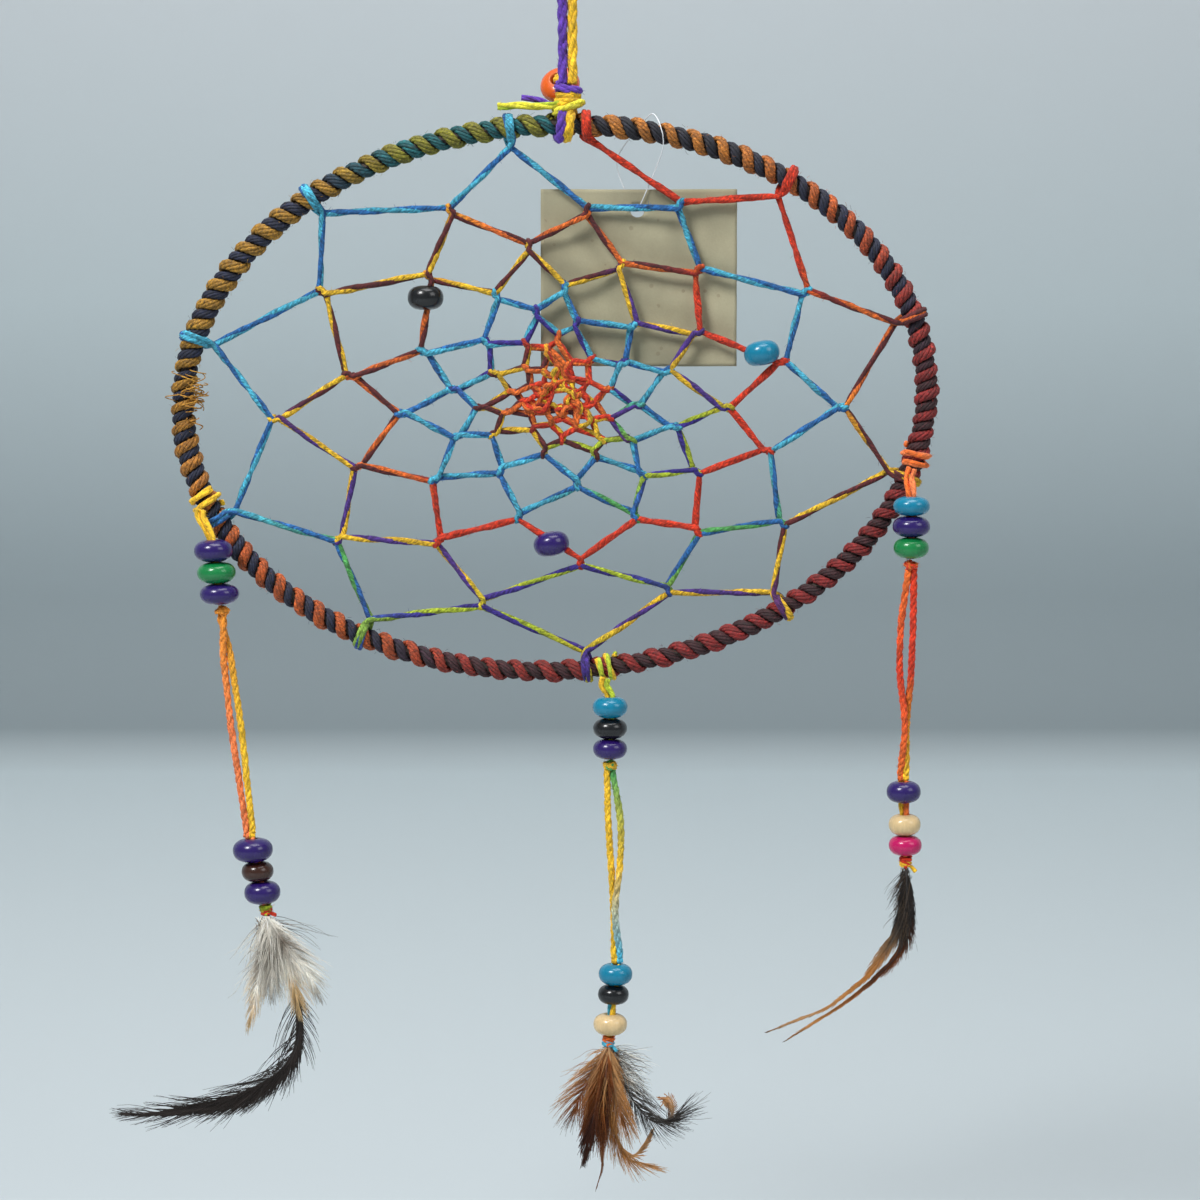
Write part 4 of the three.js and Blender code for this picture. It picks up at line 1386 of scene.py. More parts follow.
@dataclass(frozen=True)
class StringBead:
    """A bead on a pendant: its lacquer, size, and the bare cord above it, in millimetres."""

    lacquer: Lacquer
    width: float
    height: float
    bare: float = 0.0


def strung(*rows: str) -> tuple[StringBead, ...]:
    """Reads beads that are written as a lacquer, a width, a height and the bare cord above."""
    words = (row.split() for row in rows)
    return tuple(StringBead(Lacquer[name], *map(float, sizes)) for name, *sizes in words)


@dataclass(frozen=True)
class Run:
    """A run of beads on a doubled cord: where it starts, its lean, and its beads."""

    at: Spot
    lean: float
    beads: tuple[StringBead, ...]

    @property
    def way(self) -> Array:
        """The way down the run."""
        lean = math.radians(self.lean)
        return np.array([math.sin(lean), 0, -math.cos(lean)])


@dataclass(frozen=True)
class Pendant:
    """One pendant, with places as across, front and down from the tube's middle at its angle."""

    name: str
    angle: float
    hitch_angle: float
    leave: Spot
    upper: Run
    lower: Run
    bow_a: tuple[Pair, ...]
    bow_b: tuple[Pair, ...]
    cord: tuple[Dye, Dye]
    strand_a: tuple[Dye, Dye, Dye]
    strand_b: tuple[Dye, Dye, Dye]
    tie: tuple[Dye, Dye]
    feathers: dict[str, Growths]
    seed: int
    gap: float = 0.3
    stop_knot: float = 4.0
    tie_height: float = 3.0
    doubled: float = 2.4
    strand: float = 1.6
    crossed: float = 0.0
    cross_turn: float = 2.2
    strand_fill: float = 1.28
    strand_close: float = 0.12
    knot_hold: float = 0.7
    coil_hold: float = 0.65
    hitch_yarn: float = 1.9
    cord_rise: float = 0.9
    cord_yarn: float = 1.8
    cord_apart: float = 0.85
    cord_turn: float = 16.0
    coil_yarn: float = 0.95
    coil_radius: float = 0.8
    knot_yarn: float = 1.25
    knot_radius: float = 1.25
    knot_shape: Spot = (1.45, 1.3, 0.88)
    knot_lift: float = 0.35
    tie_yarn: float = 1.15
    tie_radius: float = 1.35
    bore: float = 3.0
    bead_fill: float = 0.26

    def place(self, spot: Sequence[float]) -> Array:
        """A place of this pendant in the frame, in millimetres."""
        across, front, down = spot
        return HOOP.middle(self.angle) + np.array([across, -front, -down])

    def own(self, label: str) -> str:
        """The name of one of the pendant's bodies or nodes."""
        return f"{self.name}_{label}"

    def build(self, kit: Kit) -> None:
        """Makes all the pendant's pieces.

        Args:
            kit: the finishes and the frame.
        """
        rng = np.random.default_rng(self.seed)
        self._hitch(kit)
        reach = self._string(kit, "upper", self.upper, "top")
        top = self.place(self.upper.at)
        foot = top + self.upper.way * reach
        stop = top + self.upper.way * (reach + self.gap + self.stop_knot / 2)
        leave = self.place(self.leave)
        tube = HOOP.middle(self.hitch_angle)
        start = leave + (tube - leave) * np.array([0.35, 0.0, 0.45])
        self._doubled(kit, "top_cord", "top", [start, leave, top, (top + foot) / 2, foot], self.cord, 5)
        self._stop_knot(kit, stop, rng)
        pivot = self.place(self.lower.at)
        self._strands(kit, stop, pivot)
        reach = self._string(kit, "lower", self.lower, "end")
        foot = pivot + self.lower.way * reach
        colours = (self.strand_a[2], self.strand_b[2])
        line = [pivot - (0, 0, self.cord_rise), pivot * 0.9 + foot * 0.1, (pivot + foot) / 2]
        line.append(foot + self.lower.way * self.gap)
        self._doubled(kit, "lower_cord", "end", line, colours, 7, pivot)
        tie = foot + self.lower.way * (self.gap + self.tie_height / 2)
        self._tie(kit, tie, rng)
        self._feathers(kit, tie + self.lower.way * (self.tie_height / 2 + self.gap), rng)

    def _hitch(self, kit: Kit) -> None:
        """Ties the doubled cord round the hoop.

        Args:
            kit: the finishes and the frame.
        """
        bundle = FibreBundle()
        radius = float(HOOP.thickness(self.hitch_angle)) + 0.35
        yarn = Yarn(self.hitch_yarn, turn_length=18, fuzz=1.0, seed=self.seed + 1)
        points = helix_round(self.hitch_angle, radius, 1.9, 2.7, -0.8 * math.pi)
        yarn.lay(bundle, points, [dye.light for dye in self.cord])
        kit.knit(bundle, "hoop", self.own("hitch"))

    def _string(self, kit: Kit, label: str, run: Run, part: str) -> float:
        """Threads the beads of a run.

        Args:
            kit: the finishes and the frame.
            label: the run's name.
            run: the run.
            part: the body's part of the pendant.

        Returns:
            How far the run reaches.
        """
        reach = 0.0
        for k, bead in enumerate(run.beads, 1):
            reach += bead.bare + self.gap + bead.height / 2
            middle = self.place(run.at) + run.way * reach
            node = self.own(f"{label}_bead_{k}")
            turned = Bead(bead.width, bead.height + self.bead_fill, self.bore, bead.lacquer)
            piece = turned.turn(node + "_turned", middle, (0, 0, 0.8) - run.way * 0.2, kit.beads)
            kit.add(piece, self.own(part), node)
            reach += bead.height / 2
        return reach

    def _doubled(
        self, kit: Kit, node: str, part: str, points: list, dyes: tuple[Dye, Dye], seed: int,
        turning: Array | None = None,
    ) -> None:
        """Lays two yarns side by side.

        Args:
            kit: the finishes and the frame.
            node: the cord's node, without the pendant's name.
            part: the body's part of the pendant.
            points: the cord's route.
            dyes: the two yarns' dyes.
            seed: the seed of its unevenness.
            turning: the middle of a small coil on the hinge's axis, where the cord meets the strands.
        """
        bundle = FibreBundle()
        line, _ = smooth_route(np.array(points), 0.6)
        first, second = side_frames(line)
        reach = lengths_along(line)
        yarn = Yarn(self.cord_yarn, turn_length=15, fuzz=0.9, seed=self.seed + seed)
        for k, dye in enumerate(dyes):
            away = round_ways(reach / self.cord_turn + k * np.pi + 0.3, first, second)
            yarn.spin(bundle, line + away * self.cord_apart, (dye.light, dye.light * 0.9))
        if turning is not None:
            thin = Yarn(self.coil_yarn, turn_length=9, fuzz=0.2, seed=self.seed + seed + 1)
            angle = np.linspace(0, 2 * np.pi * 2.6, 48)
            for sign, dye in zip((-1, 1), dyes):
                along = sign * np.linspace(0.1, 1.35, len(angle))
                size = self.coil_radius - 0.1 * along**2
                coil = np.column_stack([along, np.cos(angle) * size, np.sin(angle) * size])
                thin.lay(bundle, turning + coil, (dye.light,), 0.4)
        kit.knit(bundle, self.own(part), self.own(node))

    def _stop_knot(self, kit: Kit, middle: Array, rng: Chance) -> None:
        """Winds the knot under the upper beads.

        Args:
            kit: the finishes and the frame.
            middle: the knot's middle.
            rng: the pendant's own chance.
        """
        bundle = FibreBundle()
        yarn = Yarn(self.knot_yarn, turn_length=12, fuzz=0.9, seed=self.seed + 9)
        colours = (self.strand_a[0].light, self.strand_b[0].light)
        for k, loop in enumerate(wound_ball(middle, self.knot_radius, 6, rng)):
            flat = middle + (0, 0, self.knot_lift) + (loop - middle) * self.knot_shape
            yarn.lay(bundle, flat, (colours[k % 2], colours[k % 2] * 0.92), 0.5)
        kit.knit(bundle, self.own("top"), self.own("stop_knot"))

    def _strands(self, kit: Kit, stop: Array, pivot: Array) -> None:
        """Hangs the two free strands between the stop knot and the lower beads.

        Args:
            kit: the finishes and the frame.
            stop: the stop knot's middle.
            pivot: where the lower cord turns.
        """
        top = stop - (0, 0, self.stop_knot / 2 + self.gap)
        foot = pivot + (0, 0, self.doubled / 2 + self.gap)
        for letter, sign, bow, dyes in (
            ("a", -1, self.bow_a, self.strand_a),
            ("b", 1, self.bow_b, self.strand_b),
        ):
            side = sign * (self.strand / 2 + self.gap / 2)
            stands = [(0.0, 0.0), *bow, (0.0, 0.0)]
            points = [
                top + (foot - top) * (k / (len(stands) - 1)) + (side + across, -front, 0)
                for k, (across, front) in enumerate(stands)
            ]
            line, share = smooth_route(np.array(points), 0.8, np.linspace(0, 2, len(points)))
            colours = blend_along(share, (0, 1, 2), np.array([dye.light for dye in dyes]))
            bundle = FibreBundle()
            width = self.strand * self.strand_fill
            yarn = Yarn(width, 8, plies=3, fuzz=0.8, hair=0.7, seed=self.seed + 20 + sign)
            laid = self._laid(line, share / 2, sign, stop[2], pivot[2])
            shades = np.vstack([colours[:1], colours, colours[-1:]])
            yarn.spin(bundle, laid, (shades, shades * 0.86, shades * 0.94))
            piece = kit.knit(bundle, self.own("cord"), self.own("strand_" + letter))
            self.strand * MM

    def _laid(self, line: Array, share: Array, sign: int, stop: float, pivot: float) -> Array:
        """A strand's line as it lies: close to the other one, crossed at the top, up to both knots.

        Args:
            line: the strand's hung line.
            share: the share of its length at each point.
            sign: -1 for the left strand, 1 for the right.
            stop: the height of the stop knot's middle.
            pivot: the height where the lower cord turns.

        Returns:
            The line with a point more at each end.
        """
        turn = np.zeros(len(share))
        if self.crossed:
            turn = self.cross_turn * np.clip(1 - share / self.crossed, 0, 1)
        side = self.strand / 2 + self.gap / 2
        close = side - self.strand_close
        move = np.zeros_like(line)
        move[:, 0] = sign * (close * np.cos(turn) - side)
        move[:, 1] = sign * close * np.sin(turn)
        laid = line + move
        head = np.array([*laid[0, :2], stop - self.knot_hold])
        tail = np.array([*laid[-1, :2], pivot + self.coil_hold])
        return np.vstack([head, laid, tail])

    def _tie(self, kit: Kit, middle: Array, rng: Chance) -> None:
        """Binds the feathers' quills under the last bead.

        Args:
            kit: the finishes and the frame.
            middle: the tie's middle.
            rng: the pendant's own chance.
        """
        bundle = FibreBundle()
        yarn = Yarn(self.tie_yarn, turn_length=9, fuzz=0.8, seed=self.seed + 40)
        way = self.lower.way
        side = np.cross(way, BACK)
        for k, dye in enumerate(self.tie):
            turns = np.linspace(0, 2 * np.pi * 1.9, 30)
            shift = np.linspace(-0.5, 0.5, len(turns)) * 1.6 + (k - 0.5) * 1.0
            line = middle + round_ways(turns, side, BACK) * self.tie_radius + np.outer(shift, way)
            tag = line[-1] + side * (1.5 if k else -1.5) - BACK * 0.8 + way * rng.uniform(0.6, 1.6)
            yarn.lay(bundle, np.vstack([line, tag]), (dye.light, dye.light * 0.85), 0.5)
        kit.knit(bundle, self.own("end"), self.own("feather_tie"), self.own("tie_yarn"))

    def _feathers(self, kit: Kit, foot: Array, rng: Chance) -> None:
        """Grows the feathers under the tie.

        Args:
            kit: the finishes and the frame.
            foot: the tie's foot.
            rng: the pendant's own chance.
        """
        for label, growths in self.feathers.items():
            bundle = FibreBundle(0)
            for growth in growths:
                growth.grow(bundle, foot, rng)
            node = self.own("feather_" + label)
            kit.add(bundle.weave(node + "_barbs", kit.feather), self.own("end"), node)


LEFT_PLUMES: Growths = (
    Fluff(
        620, (5, 13), 16, 70, "WHITE WHITE WHITE GREY", rise=14, front=1.2,
        root=1.5, curl=0.1,
    ),
    Fluff(9, (13, 20), 82, 22, "SOOT GREY", rise=2, front=0.6),
    Plume(
        ((0, 0, 1.4), (-0.6, 9, 2.6), (-2.6, 19, 3.2), (-4.4, 27, 3.0), (-5.2, 30, 2.6)),
        (4, 7, 6.5, 3.6, 3), (4, 6.5, 6, 5, 3.5),
        "WHITE TAUPE WHITE TAN", "WHITE WHITE TAN TAN",
        angle=(46, 18),
    ),
    Plume(
        ((0.6, 0, 2.2), (3.6, 8, 3.8), (6.6, 15, 4.8), (8.4, 22, 4.4), (9.0, 26, 3.8)),
        (4, 8, 8, 6.5, 3.5), (4, 8, 8, 6.5, 3.5),
        "WHITE TAUPE WHITE TAN TAN", "WHITE WHITE TAN TAN",
        angle=(46, 15),
    ),
    Plume(
        ((0.4, 0, 2.6), (4.4, 6, 4.4), (9.2, 12, 5.2), (12.6, 17, 4.8), (14.0, 20.5, 4.4)),
        (4, 8, 8, 6, 4), (4, 8, 8, 6, 4),
        "WHITE TAUPE WHITE WHITE", "WHITE WHITE WHITE TAUPE",
        angle=(48, 24),
    ),
    Plume(
        ((-0.2, 0, 1.8), (1.2, 7, 3.6), (1.8, 14, 4.2), (1.6, 20, 3.8)),
        (5, 9, 8, 4), (5, 8, 7, 4),
        "WHITE GREY WHITE", "WHITE WHITE TAUPE",
    ),
)
BLACK_QUILL = (
    (0, 0, -0.4), (5.1, 12, -0.4), (8.3, 25.1, -0.4), (8.3, 36.6, -0.4), (5.7, 42.9, -0.4),
    (0.6, 48, -0.4), (-8.9, 53.1, -0.4), (-21.7, 56.3, -0.4), (-34.3, 58, -0.4), (-41.0, 58, -0.4),
)
LEFT_BLACK: Growths = (
    Plume(
        BLACK_QUILL, (1, 1.5, 3, 4.5, 8, 11, 9, 5, 3, 2), (1, 1.5, 3, 4.5, 7, 9.5, 8, 5, 3, 2),
        "SOOT BLACK BLACK BLACK", "SOOT BLACK BLACK BLACK",
        angle=(19, 15), spacing=0.1, barb=0.17, ruffle=0.07, clump=14, depth=0.3, quill=0.5, start=0.22,
    ),
    Plume(
        BLACK_QUILL, (3, 6, 11, 15, 15, 13, 12, 11, 9, 4), (2, 4, 6, 8, 8, 8.5, 10, 11, 8, 4),
        "SOOT BLACK BLACK BLACK", "SOOT SOOT SOOT SOOT",
        angle=(52, 20), spacing=0.6, barb=0.13, ruffle=0.34, clump=3, depth=0.4, quill=0.5, start=0.26,
    ),
)
MIDDLE_RUST: Growths = (
    Fluff(190, (6, 13), -30, 60, "FAWN RUST FAWN", rise=10, front=0.9, root=1.5, curl=0.1),
    Plume(
        ((0, 0, 0.8), (-2.0, 8.9, 2.2), (-3.8, 17.9, 2.9), (-5.4, 25.4, 2.6), (-6.2, 30.0, 2.0)),
        (5, 9, 8, 5.5, 4), (5, 9, 8, 5.5, 4),
        "FAWN RUST UMBER UMBER", "FAWN RUST UMBER UMBER",
        angle=(36, 15), spacing=0.1, barb=0.15, ruffle=0.1,
    ),
    Plume(
        ((-0.4, 0, 1.6), (-4.0, 7, 2.0), (-7.4, 13, 2.2), (-9.4, 18, 2.0)),
        (5, 9, 9, 6), (5, 7, 7, 5),
        "FAWN RUST RUST", "FAWN FAWN SOOT",
        angle=(44, 30), spacing=0.17, clump=5, ruffle=0.24,
    ),
    Plume(
        ((0.3, 0, 1.2), (1.2, 8, 2.4), (2.6, 15, 2.6), (4.2, 21, 2.0)),
        (5, 8, 8, 6), (5, 8, 9, 7),
        "FAWN FAWN RUST", "FAWN GOLD FAWN",
        angle=(36, 22), spacing=0.13,
    ),
    Plume(
        ((0, 0, 1.0), (-0.6, 8, 2.8), (-1.2, 16, 3.1), (-1.6, 25, 2.8)),
        (5, 8, 8, 5), (5, 8, 8, 5),
        "RUST UMBER UMBER", "RUST UMBER RUST",
        angle=(26, 12), spacing=0.12,
    ),
)
MIDDLE_GREY: Growths = (
    Fluff(270, (6, 13), 62, 52, "SMOKE GREY WHITE", rise=12, front=-0.4, root=1.3, curl=0.1),
    Plume(
        (
            (0.4, 0, -0.1), (4.3, 10.3, -0.9), (8.9, 18.4, -0.9), (13.2, 22.3, -0.9), (17.5, 22.3, -0.9),
            (20.4, 20.4, -0.9),
        ),
        (6, 9, 8, 6, 6, 7), (5, 9, 11, 9, 9, 7),
        "GREY SMOKE SOOT SOOT SOOT", "WHITE SMOKE SOOT SOOT",
        angle=(44, 30), spacing=0.2, clump=5, ruffle=0.26,
    ),
    Plume(
        (
            (17.4, 22.0, -1.2), (18.8, 19.6, -1.2), (18.4, 16.4, -1.4), (17.2, 15.0, -1.4),
            (16.2, 16.6, -1.4), (17.4, 17.6, -1.4),
        ),
        (0.8, 1.2, 1.4, 1.2, 0.8), (1.4, 3.0, 3.4, 2.8, 1.8),
        "SOOT FAWN FAWN", "SOOT RUST FAWN",
        angle=(62, 62), spacing=0.1, barb=0.16, ruffle=0.08, quill=0.3, start=0.0,
    ),
)
MIDDLE_GOLD: Growths = (
    Plume(
        ((-0.2, 0, -0.8), (0.6, 16, -2.6), (2.3, 27.4, -2.6), (6, 33.4, -2.6), (12.0, 35.6, -2.6)),
        (5, 8, 7.5, 6.5, 4.5), (5, 7, 6, 4.5, 3.5),
        "RUST RUST GOLD FAWN", "FAWN GOLD FAWN FAWN",
        angle=(24, 16), spacing=0.16, clump=9,
    ),
    Plume(
        ((4.0, 30.6, -2.4), (7.2, 32.6, -2.2), (9.6, 30.6, -2.0), (11.8, 27.2, -2.0)),
        (1, 2.4, 3.2, 2.4), (1, 2.4, 3.2, 2.4),
        "GOLD FAWN FAWN", "FAWN FAWN FAWN",
        angle=(22, 10), spacing=0.1, barb=0.14, ruffle=0.05, start=0.1,
    ),
)
MIDDLE_THIN: Growths = (
    Plume(
        ((-0.2, 0, -1.4), (-0.9, 16, -3.8), (-1.6, 30.3, -3.8), (-1.8, 36.9, -3.8), (-3.4, 43, -3.8)),
        (3, 5, 4, 2.4, 0.8), (3, 5, 4, 2.4, 0.8),
        "UMBER RUST RUST", "RUST FAWN UMBER",
        angle=(22, 9), quill=0.6,
    ),
)
RIGHT_A: Growths = (
    Fluff(260, (4, 8), -22, 28, "BLACK BLACK SOOT TAUPE", rise=18, front=0.7),
    Plume(
        (
            (0, 0, 0.6), (0.2, 8.6, 0.6), (-1.0, 15.6, 0.6), (-3.8, 21.2, 0.6), (-7.1, 26.6, 0.6),
            (-10.4, 31.0, 0.6), (-15.9, 35.8, 0.6), (-22.4, 40.5, 0.6), (-31.2, 44.2, 0.6),
            (-38.4, 47.2, 0.6),
        ),
        (4, 6.5, 7, 6, 4, 2.6, 2.2, 2, 1.8, 1), (3, 5, 5, 3.6, 2.4, 2, 2, 2, 3, 1.5),
        "BLACK BLACK TAUPE GOLD GOLD FAWN FAWN",
        "BLACK SOOT FAWN GOLD FAWN FAWN SOOT",
        angle=(30, 9), spacing=0.13, barb=0.14, ruffle=0.14, depth=0.35,
    ),
)
RIGHT_B: Growths = (
    Fluff(240, (4, 7), -8, 26, "BLACK BLACK SOOT", rise=18, front=-0.5),
    Plume(
        (
            (0, 0, -0.6), (0.8, 9, -0.6), (0.5, 19, -0.6), (-2.7, 25.9, -0.6), (-7.1, 30.7, -0.6),
            (-12.2, 35.4, -0.6), (-18.8, 40.5, -0.6), (-26.8, 45.6, -0.6), (-33.2, 49.8, -0.6),
        ),
        (3, 6, 6, 3.4, 2.2, 2, 2, 2, 1), (3, 5, 5, 4, 3, 2.6, 2.4, 3, 1.5),
        "BLACK BLACK UMBER UMBER RUST GOLD FAWN",
        "SOOT BLACK RUST RUST GOLD FAWN SOOT",
        angle=(26, 9), spacing=0.13, barb=0.14, ruffle=0.12, depth=0.35,
    ),
)

PENDANTS = (
    Pendant(
        name="left", angle=197.7, hitch_angle=197.7, leave=(-0.9, 6.9, 3.7),
        upper=Run((2.4, 8.2, 10.3), 7.5, strung(
            "PURPLE 10.9 6.1", "GREEN 10.9 5.9", "PURPLE 11.1 5.7",
        )),
        lower=Run((12.3, 8.2, 95), 12, strung(
            "PURPLE 11.4 6.5 0.7", "BROWN 9.1 5.5", "PURPLE 10.3 6.3",
        )),
        bow_a=((-0.3, 0), (-0.6, 0), (-0.3, 0)), bow_b=((0.3, 0), (0.6, 0), (0.3, 0)),
        cord=(Dye.YELLOW, Dye.YELLOW),
        strand_a=(Dye.AMBER, Dye.SALMON, Dye.SALMON), strand_b=(Dye.AMBER, Dye.YELLOW, Dye.YELLOW),
        tie=(Dye.YELLOW_GREEN, Dye.RED),
        feathers={"plume": LEFT_PLUMES, "black": LEFT_BLACK}, seed=100, crossed=0.2,
    ),
    Pendant(
        name="middle", angle=275.25, hitch_angle=276, leave=(0.3, 5.4, 4.5),
        upper=Run((2.0, 5.4, 7.6), 0, strung(
            "TURQUOISE 10 5.9", "BLACK 9.7 5.6", "PURPLE 9.7 5.6",
        )),
        lower=Run((4.0, 5.4, 84), -5.9, strung(
            "TURQUOISE 9.7 5.9 0.7", "BLACK 8.9 5.4", "CREAM 9.7 5.9 2.75",
        )),
        bow_a=((-0.2, 0), (0.1, 0), (0.3, -1.1)), bow_b=((1.6, 0), (1, 0.3), (-0.9, 1)),
        cord=(Dye.YELLOW_GREEN, Dye.YELLOW),
        strand_a=(Dye.YELLOW, Dye.YELLOW, Dye.YELLOW), strand_b=(Dye.GREEN, Dye.YELLOW, Dye.TURQUOISE),
        tie=(Dye.ORANGE, Dye.TURQUOISE),
        feathers={"rust": MIDDLE_RUST, "grey": MIDDLE_GREY, "gold": MIDDLE_GOLD, "thin": MIDDLE_THIN},
        seed=200,
    ),
    Pendant(
        name="right", angle=341.9, hitch_angle=344, leave=(-1.4, 7.0, 2.9),
        upper=Run((-0.9, 9.2, 8.0), 0, strung(
            "TURQUOISE 10.3 5.3", "PURPLE 10.6 5.7", "GREEN 10 5.8",
        )),
        lower=Run((-2.6, 9.2, 88.3), 2.2, strung(
            "PURPLE 9.7 6 0.7", "CREAM 9.1 5.8 3.2", "PINK 9.4 5.5",
        )),
        bow_a=((-1.4, 0), (-1.2, 0), (0.6, 1.1)), bow_b=((0.3, 0), (0.3, 0), (-0.3, -0.9)),
        cord=(Dye.SALMON, Dye.ORANGE),
        strand_a=(Dye.ORANGE, Dye.RED, Dye.ORANGE), strand_b=(Dye.RED, Dye.RED, Dye.YELLOW),
        tie=(Dye.RED, Dye.YELLOW),
        feathers={"a": RIGHT_A, "b": RIGHT_B}, seed=300,
    ),
)


@dataclass(frozen=True)
class WebBead:
    """A bead on the web: its lacquer, the knots of its span, its share along it, and its lean."""

    name: str
    lacquer: Lacquer
    start: int
    end: int
    share: float
    lean: float


WEB_BEADS = (
    WebBead("web_bead_black", Lacquer.BLACK, 30, 40, 0.31, 0),
    WebBead("web_bead_turquoise", Lacquer.TURQUOISE, 33, 23, 0.72, 11),
    WebBead("web_bead_purple", Lacquer.PURPLE, 37, 26, 0.53, 11),
)
WEB_BEAD_WIDTH = 10.2
WEB_BEAD_HEIGHT = 7.0
WEB_BEAD_BORE = 2.0


def string_web_beads(kit: Kit, web: Web) -> None:
    """Turns the three beads on the web.

    Args:
        kit: the finishes and the frame.
        web: the web that carries them.
    """
    spots = web.places()
    for bead in WEB_BEADS:
        middle = spots[bead.start] * (1 - bead.share) + spots[bead.end] * bead.share
        lean = math.radians(bead.lean)
        axis = np.array([-math.sin(lean), 0, math.cos(lean)])
        turned = Bead(WEB_BEAD_WIDTH, WEB_BEAD_HEIGHT, WEB_BEAD_BORE, bead.lacquer)
        kit.add(turned.turn(bead.name + "_turned", middle, axis, kit.beads), "hoop", bead.name)


